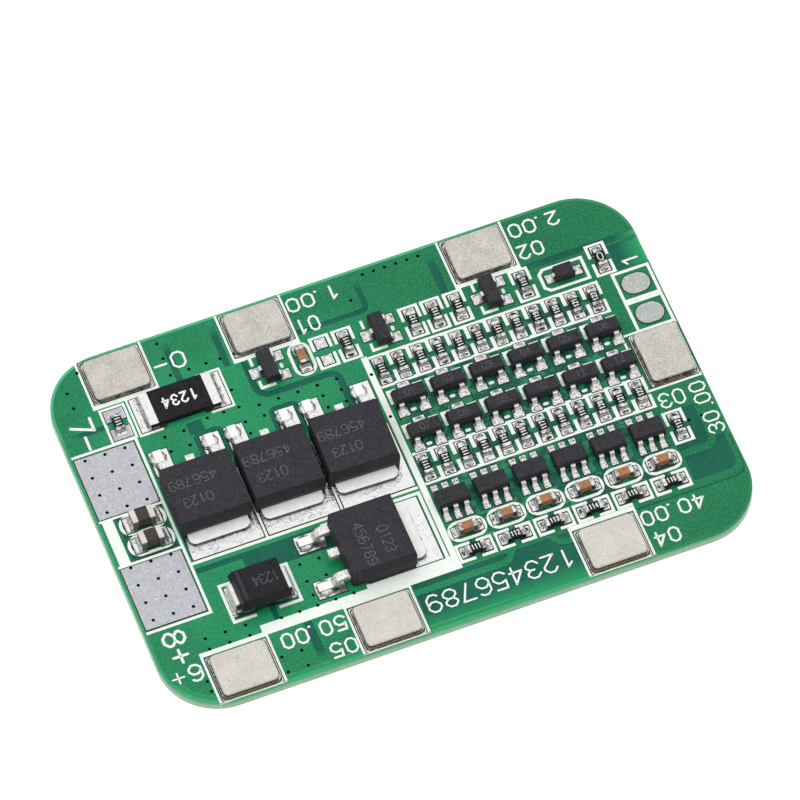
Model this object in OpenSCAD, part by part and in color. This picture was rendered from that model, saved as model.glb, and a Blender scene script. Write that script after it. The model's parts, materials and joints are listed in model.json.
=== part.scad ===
// Battery management board: a small circuit board with seven soldered cell tabs, two tinned
// load pads, four power switches, a current shunt and six cell-monitor channels.
// X runs along the long edges and Y towards the edge with tabs B-, B1 and B2. Z is up.
// The origin is the centre of the board's underside. All sizes are in millimetres.

/* [Board] */
// Length of the board along X
board_l = 52.5; // [52.5:0.5:80]
// Width of the board along Y
board_w = 35.2; // [35.2:0.2:60]
// Thickness of the laminate with its outer copper
board_t = 1; // [0.6:0.1:2.4]
// Radius of the board's four corners
corner_r = 5.25; // [1:0.25:6]
// Depth of the bare channels between the copper areas
copper_t = 0.035; // [0.02:0.005:0.1]
// Depth of the bare ring that the mask leaves round every pad
mask_gap_t = 0.06; // [0.04:0.01:0.12]
// Width of the bare ring that the mask leaves round every pad
mask_gap = 0.09; // [0.05:0.01:0.12]
// Height of a tinned pad above the green mask
pad_t = 0.04; // [0.02:0.01:0.1]
// Thickness of the white ink
ink_t = 0.02; // [0.01:0.01:0.03]
// Width of a thin ink line
ink_line = 0.27; // [0.15:0.01:0.3]
// Drilled diameter of a via
via_d = 0.3; // [0.2:0.05:0.4]

/* [Cell tabs] */
// Long side of a cell tab
tab_l = 4.95; // [4:0.05:5.2]
// Short side of a cell tab
tab_w = 3.95; // [3:0.05:4.1]
// Thickness of a cell tab's sheet
tab_t = 0.5; // [0.15:0.05:1]
// Corner radius of a cell tab
tab_r = 0.45; // [0.1:0.05:1]
// Thickness of the solder under a cell tab
tab_bed_t = 0.08; // [0.04:0.01:0.15]
// Distance from a front or side tab to its board edge
tab_edge = 0.4; // [0.3:0.05:0.5]
// How much further the rear tabs lie from their board edge
tab_rear_in = 0.25; // [0:0.05:0.3]

/* [Load pads] */
// Length of a load pad along X
load_pad_l = 5.3; // [4.5:0.1:5.4]
// Width of a load pad along Y
load_pad_w = 6.15; // [5.5:0.05:6.2]
// Distance between the vias of a load pad
load_via_pitch = 1.77; // [1.5:0.01:1.78]

/* [Power switches] */
// Width of a switch's moulded body
fet_w = 6.45; // [6.2:0.05:6.6]
// Clearance between the bodies of neighbouring switches
fet_gap = 0.27; // [0.2:0.01:0.4]
// Length of a switch's moulded body
fet_l = 6; // [5.6:0.05:6.2]
// Height of a switch above its pads
fet_h = 2.3; // [1.8:0.05:2.6]
// Thickness of a switch's leads and drain tab
fet_lead_t = 0.5; // [0.4:0.02:0.6]
// Width of a switch's outer leads
fet_lead_w = 0.78; // [0.6:0.02:1]
// Distance between neighbouring lead positions
fet_pitch = 2.29; // [2.2:0.01:2.35]
// Distance from the body to a lead's toe
fet_reach = 2.65; // [2.4:0.05:2.7]
// How far the drain tab stands out of the body
fet_tab_out = 0.98; // [0.6:0.02:1.3]

/* [Small packages] */
// Length of a three-lead and six-lead package body
sot_l = 2.9; // [2.7:0.02:3]
// Width of a three-lead package body
sot3_w = 1.3; // [1.2:0.02:1.5]
// Width of a six-lead package body
sot6_w = 1.62; // [1.5:0.02:1.7]
// Height of a small package above its pads
sot_h = 1.1; // [0.9:0.02:1.3]
// Thickness of a small package's leads
sot_lead_t = 0.13; // [0.1:0.01:0.16]
// Length of a small resistor or capacitor chip
chip_l = 1.6; // [1.5:0.02:1.65]
// Width of a small resistor or capacitor chip
chip_w = 0.8; // [0.7:0.02:0.86]
// Height of a resistor chip
res_h = 0.45; // [0.35:0.01:0.55]
// Height of a small capacitor chip
cap_h = 0.8; // [0.6:0.02:0.9]

/* [Monitor channels] */
// Number of cell-monitor channels
channels = 6; // [1:1:6]
// Distance between channels along X
channel_pitch = 3.5; // [3.4:0.01:3.52]

/* [Shunt and diodes] */
// Length of the shunt
shunt_l = 6.35; // [6:0.05:6.5]
// Width of the shunt
shunt_w = 3.2; // [3:0.02:3.3]
// Height of the shunt
shunt_h = 0.65; // [0.5:0.01:0.9]
// Length of the clamp diode's body
clamp_l = 4.4; // [4.1:0.02:4.5]
// Width of the clamp diode's body
clamp_w = 3.6; // [3.3:0.02:3.7]
// Height of the clamp diode above its pads
clamp_h = 2.2; // [2:0.02:2.5]

/* [Hidden] */
tab_names = ["tab_b_minus", "tab_b1", "tab_b2", "tab_b3", "tab_b4", "tab_b5", "tab_b_plus"];

eps = 0.01;
over = 1;

// Edges of the board
left = -board_l/2;
right = board_l/2;
back = board_w/2;
front = -board_w/2;
top = board_t;
seat = board_t + pad_t;

// Cell tabs: [x, y, turn], in the order of tab_names
tab_row_y = back - tab_edge - tab_w/2;
tab_side_x = right - tab_edge - tab_w/2;
tab_places = [
    [left + 6.55, tab_row_y, 0], [-7.1, tab_row_y, 0], [12.95, tab_row_y, 0],
    [tab_side_x, 0.13, 90],
    [12.95, -tab_row_y, 0], [-7.1, -tab_row_y, 0], [left + 6.55, -tab_row_y, 0]];
// Tabs as soldered, and the pads under them
tab_seats = [for (p = tab_places) [p.x, p.y > tab_row_y - eps ? p.y - tab_rear_in : p.y, p.z]];
tab_pad_places = [for (p = tab_places) [p.x, p.y > tab_row_y - eps ? p.y - 0.1 : p.y, p.z]];
tab_pad_size = [tab_l + 0.4, tab_w + 0.38];
tab_box_l = tab_l + 0.99;
tab_box_w = tab_w + 1.05;
tab_line = 0.2;
tab_bar = 0.42;

// Load pads: centre of each, then how far its vias sit from that centre
load_pad_x = left + 0.35 + load_pad_l/2;
load_pad_y = [5.42, -5.76];
load_via_shift = [0.1, 0.3];
ink_bar = 0.24;
load_ink_x = left + 6.05;

// Power switches: [x, y, turn], leads towards +Y before the turn
fet_pad_pitch = fet_w + fet_gap;
fet_pad_x = -3.36 - 2*fet_pad_pitch;
fet_row_y = 1.05;
fet_side = [-5.76, -8.23];
fet_pads = [for (i = [0:2]) [fet_pad_x + i*fet_pad_pitch, fet_row_y, 0]];
fet_pad_places = concat(fet_pads, [[fet_side.x + 0.06, fet_side.y, 90]]);
fet_places = [
    [fet_pads[0].x - 0.2, fet_row_y, -0.3], [fet_pads[1].x - 0.32, fet_row_y, -0.8],
    [fet_pads[2].x - 0.4, fet_row_y, -1.4], [fet_side.x, fet_side.y, 90]];
fet_exit_z = 0.85;
fet_tab_w = 5.35;
fet_pad_l = 6.3;
fet_pad_w = 6.5;
fet_lead_pad_l = 2.45;
fet_lead_pad_w = 1.65;
fet_toe = 0.18;
fet_tab_r = 0.6;
// Solder collar round the drain tab: width, height
collar = [0.14, 0.18];
// Body's own centre to the far edges of its pads
fet_pad_front = -fet_l/2 - 2.1;
fet_pad_back = fet_l/2 + fet_reach + 0.2;
fet_ink_w = 0.2;

// White divider and bar
divider_l = 0;
divider_r = 0.55;
divider_back = back - 8.5;
bar_y = [front + 4.8, front + 5.8];
bar_x = [left + 9.2, left + 18.75];
bar_step = 0.38;

// Channel rows, from the divider's right edge
block_x = divider_r + 0.05;
half_pitch = channel_pitch/2;
row_upper_res = 7.33;
row_upper_sot = 4.05;
row_lower_sot = 0.48;
row_lower_res = -2.75;
row_monitor = -6.48;
row_caps = front + 8.1;
row_front_res = front + 6.05;
row_rear = back - 6.75;
res_frame_h = 3.3;
res_columns = channels*2;
block_l = res_columns*half_pitch - 0.2;

// Lists of places: [x, y, turn]; turn 0 sets a chip's length along X
function upper_res() = [for (i = [0:res_columns - 1]) [block_x + 0.64 + i*half_pitch, row_upper_res, 90]];
function lower_res() = [for (p = upper_res()) [p.x, row_lower_res, 90]];
function channel_x(shift) = [for (i = [0:channels - 1]) block_x + shift + i*channel_pitch];
function sot_row(y) = [for (x = channel_x(1.8)) [x, y, 0]];
function monitor_places() = [for (x = channel_x(1.47)) [x, row_monitor, 0]];
function front_res() = [for (x = channel_x(1.62)) [x, row_front_res, 0]];
function ceramic_caps() = concat([for (x = channel_x(1.66)) [x, row_caps, 0]], [[-4.6, row_rear, 90]]);
rear_res = [for (x = [-0.58, 5.45, 7.45, 9.5, 15.47, 22.45]) [x, row_rear, 90]];
load_res = [left + 5.05, row_rear - 0.3, 90];
end_res = [right - 3.93, -6.78, 90];
side_res = [load_res, end_res];
rear_sot = [for (x = [-7.6, 2.43, 12.47]) [x, row_rear + 0.1, 90]];
empty_place = [-2.6, row_rear, 90];
load_caps = [for (y = [1.05, -1.05]) [left + 3.7, y, 0]];
shunt_place = [left + 10.6, back - 6.95, 0];
clamp_place = [left + 10.35, -8.93, 0];
signal_place = [19, back - 7.05, 0];

// Package details
sot3_span = sot3_w + 1.1;
sot6_span = sot6_w + 1.18;
sot3_pitch = 1.9;
sot6_pitch = sot3_pitch/2;
sot_exit_z = sot_h/2 - 0.05;
sot_stand = 0.1;
cap_skin = 0.04;
chip_cap = 0.2*chip_l;
chip_pad_l = 0.6*chip_l;
chip_pad_w = chip_w + 0.15;
chip_pad_gap = 0.46*chip_l;
load_cap_size = [1.25*chip_l, 1.56*chip_w, 1.52*cap_h];
load_cap_end = 0.24*load_cap_size.x;
shunt_cap = 0.12*shunt_l;
shunt_pad_l = 0.34*shunt_l;
shunt_pad_w = shunt_w + 0.2;
shunt_pad_gap = 0.57*shunt_l;
clamp_lead_t = 0.2;
clamp_lead_w = 0.58*clamp_w;
signal_size = [1.7, 1.25, 0.95];
signal_span = 2.6;
test_pad_size = [2.45, 1.95];
test_pad_x = right - 1.87;
test_pad_y = [7.55, 4.43];

// ---------- Helpers ----------

// Rectangle between two corners
module box2(x0, y0, x1, y1) translate([min(x0, x1), min(y0, y1)]) square([abs(x1 - x0), abs(y1 - y0)]);

// Rectangle with round corners, centred
module round_rect(l, w, r) {
    rr = min(r, min(l, w)/2 - eps);
    square([l, w - 2*rr], center = true);
    square([l - 2*rr, w], center = true);
    for (sx = [-1, 1], sy = [-1, 1]) translate([sx*(l/2 - rr), sy*(w/2 - rr)]) circle(r = rr, $fn = 48);
}

// Outline of a rectangle, with round corners where r is given
module frame2(l, w, line, r = 0) difference() {
    if (r > 0) round_rect(l, w, r); else square([l, w], center = true);
    if (r > line) round_rect(l - 2*line, w - 2*line, r - line);
    else square([l - 2*line, w - 2*line], center = true);
}

// Quarter of a ring about a corner, opening towards (sx, sy)
module quarter_ring(x, y, r, line, sx, sy) translate([x, y]) intersection() {
    difference() {
        circle(r = r + line/2, $fn = 64);
        circle(r = r - line/2, $fn = 64);
    }
    box2(0, 0, sx*2*r, sy*2*r);
}

// Moves flat children to each place in a list
module each_place(places) for (p = places) translate([p.x, p.y]) rotate(p.z) children();

// Moves solid children to each place, standing on the pads
module on_pads(places) for (p = places) translate([p.x, p.y, seat]) rotate(p.z) children();

// Moulded block: every side leans in above and below the parting line
module moulded(l, w, h, part_z, lean, r = 0) {
    side = [lean*part_z/(h - part_z), lean];
    intersection() {
        linear_extrude(h) if (r > 0) round_rect(l, w, r); else square([l, w], center = true);
        rotate([90, 0, 0]) linear_extrude(w + over, center = true) moulded_side(l, h, part_z, side);
        rotate([90, 0, 90]) linear_extrude(l + over, center = true) moulded_side(w, h, part_z, side);
    }
}

module moulded_side(l, h, part_z, side) polygon([
    [-l/2 + side[0], 0], [l/2 - side[0], 0], [l/2, part_z], [l/2 - side[1], h],
    [-l/2 + side[1], h], [-l/2, part_z]]);

function arc(c, r, a0, a1, n = 5) = [for (i = [0:n]) c + r*[cos(a0 + (a1 - a0)*i/n), sin(a0 + (a1 - a0)*i/n)]];

// Side view of a gull-wing lead: leaves the body at y = 0 with its underside at drop, bends
// down by the slope angle and ends flat on z = 0 at y = reach
function gull(reach, drop, t, flat_out, slope, inset) =
    let (r = t,
         run = (drop - 2*r*(1 - cos(slope)))/sin(slope),
         c1 = [flat_out, drop + t/2 - r],
         c2 = [flat_out + 2*r*sin(slope) + run*cos(slope), t/2 + r])
    concat([[-inset, drop], [-inset, drop + t]], arc(c1, r + t/2, 90, 90 - slope),
           arc(c2, r - t/2, 270 - slope, 270), [[reach, t], [reach, 0]],
           arc(c2, r + t/2, 270, 270 - slope), arc(c1, r - t/2, 90 - slope, 90));

// Side view of a lead that folds down the body's end and back under it
function j_fold(out, drop, t, under, inset) =
    let (r = 1.2*t, c1 = [out - r - t/2, drop + t/2 - r], c2 = [out - r - t/2, t/2 + r])
    concat([[-inset, drop], [-inset, drop + t]], arc(c1, r + t/2, 90, 0), arc(c2, r + t/2, 0, -90),
           [[-under, 0], [-under, t]], arc(c2, r - t/2, -90, 0), arc(c1, r - t/2, 0, 90));

// Extrudes a side view (y out, z up) to a width along X
module lead(points, w) rotate([90, 0, 90]) linear_extrude(w, center = true) polygon(points);

// Solder that climbs a wall at y = 0 with a hollow face, standing on z = 0
module fillet(size, w) rotate([90, 0, 90]) linear_extrude(w, center = true) difference() {
    square(size);
    translate([size, size]) circle(r = size - 0.03, $fn = 32);
}

// ---------- Flat layouts ----------

// One pad. $ring widens every pad alike, to draw the opening that the mask leaves round it
$ring = 0;
module pad(l, w, r = 0) {
    if (r > 0) round_rect(l + 2*$ring, w + 2*$ring, r + $ring);
    else square([l + 2*$ring, w + 2*$ring], center = true);
}

module chip_pads(gap = chip_pad_gap, l = chip_pad_l, w = chip_pad_w)
    for (s = [-1, 1]) translate([s*(gap + l)/2, 0]) pad(l, w);

module fet_pads2() {
    translate([0, fet_pad_front + fet_pad_w/2]) pad(fet_pad_l, fet_pad_w);
    for (s = [-1, 1]) translate([s*fet_pitch, fet_pad_back - fet_lead_pad_l/2])
        pad(fet_lead_pad_w, fet_lead_pad_l);
}

module sot3_pads() {
    translate([0, sot3_span/2 - 0.1]) pad(1, 1);
    for (s = [-1, 1]) translate([s*sot3_pitch/2, 0.1 - sot3_span/2]) pad(0.9, 1);
}

module sot6_pads() for (k = [-1:1], s = [-1, 1])
    translate([k*sot6_pitch, s*(sot6_span/2 - 0.05)]) pad(0.55, 0.95);

module tab_pads() each_place(tab_pad_places) pad(tab_pad_size.x, tab_pad_size.y, 0.2);

module small_pads() {
    chips = concat(upper_res(), lower_res(), front_res(), rear_res, ceramic_caps());
    each_place(concat(chips, [end_res, empty_place])) chip_pads();
    each_place(concat(sot_row(row_upper_sot), sot_row(row_lower_sot), rear_sot)) sot3_pads();
    each_place(monitor_places()) sot6_pads();
    each_place(load_caps) chip_pads(0.65*load_cap_size.x, 0.95, load_cap_size.y + 0.25);
    each_place([load_res]) chip_pads(chip_pad_gap, 1.12, 1.7);
    each_place([shunt_place]) chip_pads(shunt_pad_gap, shunt_pad_l, shunt_pad_w);
    each_place([clamp_place]) chip_pads(1.5, clamp_out - 0.7, 0.8*clamp_w);
    each_place([signal_place]) chip_pads(1.5, 0.85, 0.85);
}

module pads2() {
    tab_pads();
    small_pads();
    each_place(fet_pad_places) fet_pads2();
    for (y = load_pad_y) translate([load_pad_x, y]) pad(load_pad_l, load_pad_w);
    for (y = test_pad_y) translate([test_pad_x, y]) pad(test_pad_size.x, test_pad_size.y, 0.97);
}

// Plated holes of the load pads
module load_vias() for (k = [0, 1], i = [-1:1], j = [-1.5:1.5])
    translate([load_pad_x + i*load_via_pitch, load_pad_y[k] + load_via_shift[k] + j*load_via_pitch])
        circle(d = via_d, $fn = 16);

// Plated holes that the mask leaves open in the copper areas
small_vias = concat(
    [for (x = [-2.9, -1.25, 0.3, 1.55, 2.8], y = [-1.8]) [-12.55 + x, tab_row_y + y]],
    [[left + 2.1, tab_row_y - 0.35], [left + 2.1, tab_row_y - 1.9], [left + 3.55, tab_row_y + 1.25]],
    [for (y = [-0.05, 1.5]) [-15.45, tab_row_y + y]],
    [for (x = [-11.2, -12.55], y = [8.42]) [x, y]],
    [[-11.2, 10.2], [-14.05, 8.4]],
    [for (x = [-18, -16.3], y = [6.45, 7.95]) [x, y]],
    [for (i = [0:4]) [-9.55 + i*1.74, 8]],
    [for (x = [-11.2, -9.5, -4.25, -2.6], y = [6.87]) [x, y]],
    [for (x = [-11.2, -4.25, -2.6], y = [5.67]) [x, y]],
    [for (i = [0:5]) [3.15 + i*1.01, back - 0.8]],
    [[1.3, back - 2.85]],
    [for (y = [7.3, 2.9]) [divider_r/2, y]],
    [for (x = [2.85, 1.7]) [right - x, -6.5]],
    [for (i = [0:2], y = [6.3, 5.25]) [left + 4.6 + i*1.77, front + y]],
    [for (i = [0:4]) [-15.1 + i*1.6, bar_y[1] + 0.05]],
    [for (x = [-11.9, -10.2], y = [-7.6, -9.3]) [x, y]],
    [[-11.9, -10.7]],
    [for (x = [-16.4, -14.65], y = [2.4, 0.9]) [x, front + y]],
    [for (y = [2.5, 1.5]) [left + 3.35, front + y]]);

module vias2() {
    load_vias();
    for (p = small_vias) translate(p) circle(d = via_d, $fn = 16);
}

// Bare channels between the copper areas, drawn as the mask shows them
module channels2() {
    rear_channels();
    switch_channels();
    front_channels();
    end_channels();
    for (x = channel_x(3.65)) if (x < block_x + block_l - 1) {
        box2(x, row_upper_sot - 1.3, x + 0.4, row_upper_sot + 1.4);
        box2(x - 0.4, row_monitor - 0.7, x + 0.4, row_monitor - 1.9);
    }
}

module rear_channels() {
    for (x = [-14.88, -10.65]) box2(x - 0.28, back - 0.4, x + 0.28, back - 5.1);
    box2(left + 0.55, 10.4, left + 3.85, 10.85);
    // From behind the first tab's number round to the rear edge
    box2(-4.1, back - 4.4, 1.68, back - 3.95);
    quarter_ring(1.68, back - 3.57, 0.6, 0.5, 1, -1);
    box2(2.03, back - 3.57, 2.53, back - 0.6);
    box2(8.65, back - 5.1, 9.35, back - 1.1);
    box2(16.1, back - 5.5, right, back - 4.95);
    // Open field above the test pads
    box2(right - 2.85, back - 5.8, right, back - 8.35);
}

module switch_channels() {
    // Rings round the source pads of the first two switches
    for (p = [fet_pads[0], fet_pads[1]])
        translate([p.x + fet_pitch, p.y + fet_pad_back - fet_lead_pad_l/2])
            frame2(fet_lead_pad_w + 0.95, fet_lead_pad_l + 0.95, 0.4, 0.6);
    box2(-15.95, 7.3, -14.6, 8.5);
    // Channel that turns from the rear edge to the third switch
    box2(-9.55, 9.75, -9, back - 5.2);
    quarter_ring(-8.2, 9.75, 1.07, 0.55, -1, -1);
    box2(-8.2, 8.4, -3.1, 8.95);
    quarter_ring(-3.1, 7.9, 0.78, 0.55, 1, 1);
    box2(-2.6, 4.3, -2, 7.9);
    // Round the gate of the side switch
    box2(left + 6.15, -4.85, -8.6, -5.35);
    box2(-16.15, -5.3, -8.6, -7);
    // Under the clamp diode towards the bar
    box2(clamp_place.x + 0.2, clamp_place.y, clamp_place.x + 0.7, bar_y[1]);
}

module front_channels() {
    box2(-13.6, bar_y[1] - 1.1, -12.88, front + 0.6);
    // Bare rim along the front edge and round its left corner
    intersection() {
        frame2(board_l, board_w, 0.6, corner_r);
        box2(left, front, -7.1 - tab_box_l/2, front + 3.5);
    }
    // Open field along the front edge, left free by two tracks
    difference() {
        box2(-4, bar_y[1] - 1.05, 9.95, front);
        box2(-4.1, front + 4.25, 3.75, front + 3.65);
        quarter_ring(3.75, front + 5.1, 1.15, 0.6, 1, -1);
        quarter_ring(9.6, front + 5.1, 1.1, 0.6, -1, -1);
        box2(9.6, front + 4.3, 10, front + 3.7);
    }
}

// Two fields at the right end with a track between them, and the thin line round both
module end_channels() {
    difference() {
        union() {
            box2(right - 4.75, -8.45, right - 2.55, -9.05);
            box2(right - 3.05, -5.2, right - 1.95, -8.45);
        }
        translate([end_res.x, end_res.y]) square([1.6, 3.1], center = true);
    }
    intersection() {
        translate([right - 2.55, -8.45]) circle(r = 0.6, $fn = 48);
        box2(right - 2.55, -8.45, right, -10);
    }
    difference() {
        union() {
            box2(right - 4.65, -8.7, right - 0.65, -11.2);
            box2(right - 4.65, -11.2, right - 1.6, -12.15);
            intersection() {
                translate([right - 1.6, -11.2]) circle(r = 0.95, $fn = 48);
                box2(right - 1.6, -11.2, right, -13);
            }
        }
        // Track that turns up between the fields
        box2(right - 4.7, -8.6, right - 2.5, -9.75);
        intersection() {
            translate([right - 2.5, -8.6]) circle(r = 1.15, $fn = 48);
            box2(right - 2.5, -8.6, right, -10);
        }
    }
    box2(16.1, front + 4.75, right - 1.25, front + 4.57);
    quarter_ring(right - 1.25, front + 5.7, 1.04, 0.18, 1, -1);
    box2(right - 0.3, front + 5.7, right - 0.12, front + 8.6);
}

// White frame round a chip that lies along X, open in the middle of its long sides
module chip_ink(l = 3.28, w = 1.8) difference() {
    frame2(l, w, ink_line);
    square([0.56, w + over], center = true);
}

// White frame of a row of upright chips, with split bars between the columns
module res_frame(y) translate([block_x, y]) {
    for (s = [-1, 1]) box2(0, s*res_frame_h/2, block_l, s*(res_frame_h/2 - 0.3));
    for (i = [1:res_columns - 1], s = [-1, 1])
        box2(i*half_pitch - 0.25 - 0.02, s*0.27, i*half_pitch + 0.22, s*(res_frame_h/2 - 0.15));
    for (s = [-1, 1]) box2(block_l - 0.27, s*0.27, block_l, s*(res_frame_h/2 - 0.15));
}

// Corner mark, dash and dot of a three-lead part
module sot3_ink() {
    box2(-1.65, -0.15, -1.65 + ink_line, 1.25);
    box2(-1.65, 1, -0.8, 1.25);
    box2(0.75, 1, 1.6, 1.25);
    translate([-0.05, -1.17]) round_rect(0.5, 0.28, 0.14);
}

// Two brackets that face each other across a part
module brackets(l, w, arm) difference() {
    frame2(l, w, ink_line);
    square([l - 2*arm, w + over], center = true);
}

// Box round a cell tab, with its wide side towards the middle of the board
module tab_ink() for (p = tab_places) translate([p.x, p.y]) rotate(p.z == 90 ? 90 : p.y > 0 ? 180 : 0) {
    outer_y = -(tab_w/2 + tab_edge - 0.12);
    inner_y = outer_y + tab_box_w;
    difference() {
        translate([0, (outer_y + inner_y)/2]) frame2(tab_box_l, tab_box_w, tab_line);
        // The rear tabs' boxes run out at the board edge
        if (p.y > 5)
            box2(-tab_box_l/2 + tab_line, outer_y - eps, tab_box_l/2 - tab_line, outer_y + tab_line + eps);
    }
    if (p.z == 0) box2(-tab_box_l/2, inner_y, tab_box_l/2, inner_y - tab_bar);
}

module load_ink() {
    box2(load_ink_x - ink_bar, 8.9, load_ink_x, -9.25);
    for (y = [8.9, 2.3, -2.35, -9.01]) box2(left + 0.25, y, load_ink_x, y - ink_bar);
    box2(left + 0.45, 2.2, left + 1.4, -2.45);
    each_place(load_caps) frame2(4.05, 2.05, ink_line, 0.95);
}

module switch_ink() {
    line_y = fet_row_y + fet_pad_front - 0.12;
    box2(load_ink_x, line_y, -0.12, line_y - ink_line);
    for (i = [0.5, 1.5]) box2(fet_pad_x + i*fet_pad_pitch - fet_ink_w/2, line_y - ink_line,
                                   fet_pad_x + i*fet_pad_pitch + fet_ink_w/2, line_y + 7.2);
    side_y = fet_side.y + 3.26;
    box2(-9, side_y, -0.12, side_y + 0.3);
    box2(-0.42, side_y, -0.12, bar_y[1]);
}

module divider_ink() {
    box2(divider_l, divider_back, divider_r, bar_y[0]);
    box2(bar_x[0], bar_y[0], divider_r, bar_y[1]);
    box2(bar_x[1], bar_y[0], divider_r, bar_y[1] + bar_step);
}

module ink2() {
    divider_ink();
    tab_ink();
    load_ink();
    switch_ink();
    res_frame(row_upper_res);
    res_frame(row_lower_res + 0.02);
    each_place(concat(sot_row(row_upper_sot), sot_row(row_lower_sot))) sot3_ink();
    each_place(rear_sot) sot3_ink();
    for (p = ceramic_caps()) translate([p.x, p.y]) rotate(p.z) frame2(3.34, 1.98, ink_line, 0.9);
    each_place(front_res()) chip_ink();
    each_place(concat(rear_res, [end_res, empty_place])) chip_ink();
    each_place([load_res]) frame2(3.6, 2.3, 0.24);
    each_place([shunt_place]) brackets(8.5, 4, 2.1);
    each_place([clamp_place]) brackets(6.2, 3.9, 2.1);
    signal_ink();
    for (y = test_pad_y) translate([test_pad_x, y]) frame2(3.45, 3.1, 0.26);
    // Step from the lower resistor frame to the side tab's box
    box2(block_x + block_l - 0.3, row_lower_res + res_frame_h/2, tab_side_x - tab_box_w/2, row_lower_res + 0.27);
}

module signal_ink() translate([signal_place.x, signal_place.y]) difference() {
    polygon([[-2.1, -0.75], [-1.6, -1.2], [2.1, -1.2], [2.1, 1.2], [-1.6, 1.2], [-2.1, 0.75]]);
    polygon([[-1.83, -0.65], [-1.48, -0.95], [1.83, -0.95], [1.83, 0.95], [-1.48, 0.95], [-1.83, 0.65]]);
}

// ---------- Board, pads, ink and solder ----------

module circuit_board() color([0.13, 0.5, 0.33]) difference() {
    linear_extrude(board_t) round_rect(board_l, board_w, corner_r);
    translate([0, 0, top - copper_t]) linear_extrude(over) difference() {
        channels2();
        pads2();
    }
    translate([0, 0, top - mask_gap_t]) linear_extrude(over) difference() {
        pads2($ring = mask_gap);
        pads2();
    }
    translate([0, 0, -over]) linear_extrude(board_t + 2*over) vias2();
}

module solder_pads() color([0.8, 0.8, 0.82]) translate([0, 0, top]) linear_extrude(pad_t) difference() {
    pads2();
    vias2();
}

module silkscreen() color([0.95, 0.96, 0.94]) translate([0, 0, top]) linear_extrude(ink_t) difference() {
    ink2();
    pads2($ring = mask_gap);
    vias2();
}

module tab_solder() color([0.75, 0.76, 0.78]) on_pads(tab_seats)
    linear_extrude(tab_bed_t) round_rect(tab_l + 0.12, tab_w + 0.12, tab_r);

module chip_fillets(l, w, size) for (s = [0, 180]) rotate(s) translate([l/2, 0, 0]) rotate(-90) fillet(size, w);

module part_solder() color([0.83, 0.84, 0.86]) {
    on_pads(concat(upper_res(), lower_res(), front_res(), rear_res, side_res))
        chip_fillets(chip_l, chip_w, min(0.34, res_h));
    on_pads(ceramic_caps()) chip_fillets(chip_l, chip_w, 0.4);
    on_pads(load_caps) chip_fillets(load_cap_size.x, load_cap_size.y, 0.5);
    on_pads([shunt_place]) chip_fillets(shunt_l, shunt_w, 0.5);
    on_pads([clamp_place]) chip_fillets(2*clamp_out, clamp_lead_w, 0.12);
    on_pads(fet_places) {
        for (s = [-1, 1]) translate([s*fet_pitch, fet_l/2 + fet_reach, 0]) fillet(fet_toe, fet_lead_w);
        drain_collar();
    }
}

// Solder that stands along the edge of a drain tab, outside the body
module drain_collar() {
    tab_end = fet_l/2 + fet_tab_out;
    linear_extrude(collar.y) difference() {
        translate([0, -tab_end/2])
            round_rect(fet_tab_w + 2*collar.x, tab_end + 2*collar.x, fet_tab_r + collar.x);
        fet_paddle2();
        translate([0, fet_l/2]) square([fet_w + over, 2*fet_l], center = true);
    }
}

// ---------- Cell tabs ----------

module cell_tab(i) color([0.82, 0.8, 0.78]) on_pads([tab_seats[i]])
    translate([0, 0, tab_bed_t]) linear_extrude(tab_t) round_rect(tab_l, tab_w, tab_r);

// ---------- Power switches ----------

module fet_paddle2() {
    reach = fet_l/2 + fet_tab_out;
    translate([0, (fet_l/2 - 0.9 - reach)/2]) round_rect(fet_tab_w, fet_l/2 - 0.9 + reach, fet_tab_r);
}

// Drain tab, paddle and middle lead are one piece; the outer leads stand apart inside the body
module fet_leadframe_solid() {
    inset = 0.55;
    linear_extrude(fet_lead_t) fet_paddle2();
    // Middle lead: a riser off the paddle and the stub that is cut short outside
    translate([0, fet_l/2 - 1.4, fet_lead_t - eps]) linear_extrude(fet_exit_z - fet_lead_t + 2*eps)
        translate([-fet_lead_w/2, 0]) square([fet_lead_w, 0.5]);
    translate([-fet_lead_w/2, fet_l/2 - 1.4, fet_exit_z]) cube([fet_lead_w, 2.25, fet_lead_t]);
    for (s = [-1, 1]) translate([s*fet_pitch, fet_l/2, 0])
        lead(gull(fet_reach, fet_exit_z, fet_lead_t, 0.55, 62, inset), fet_lead_w);
}

module power_switch_leadframe(i) color([0.85, 0.85, 0.86]) on_pads([fet_places[i]]) fet_leadframe_solid();

module power_switch_body(i) color([0.2, 0.2, 0.22]) on_pads([fet_places[i]]) difference() {
    fet_mould();
    fet_leadframe_solid();
}

// Moulded body: deep corners on the lead side, small ones on the tab side
module fet_mould() {
    part_z = fet_exit_z + fet_lead_t/2;
    intersection() {
        moulded(fet_w, fet_l, fet_h, part_z, 0.22);
        linear_extrude(fet_h) fet_outline();
    }
}

module fet_outline() {
    rear_r = 1;
    tab_side_r = 0.55;
    translate([0, fet_l/4]) round_rect(fet_w, fet_l/2, rear_r);
    translate([0, -fet_l/4]) round_rect(fet_w, fet_l/2, tab_side_r);
    square([fet_w, 2.1*rear_r], center = true);
}

// ---------- Small leaded packages ----------

module sot_body(w) translate([0, 0, sot_stand])
    moulded(sot_l, w, sot_h - sot_stand, sot_exit_z + sot_lead_t/2 - sot_stand, 0.09);

module sot_lead(w, span, lead_w) translate([0, w/2, 0])
    lead(gull((span - w)/2, sot_exit_z, sot_lead_t, 0.08, 78, 0.25), lead_w);

module sot3_leads() {
    sot_lead(sot3_w, sot3_span, 0.42);
    for (s = [-1, 1]) translate([s*sot3_pitch/2, 0, 0]) rotate(180) sot_lead(sot3_w, sot3_span, 0.42);
}

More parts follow.
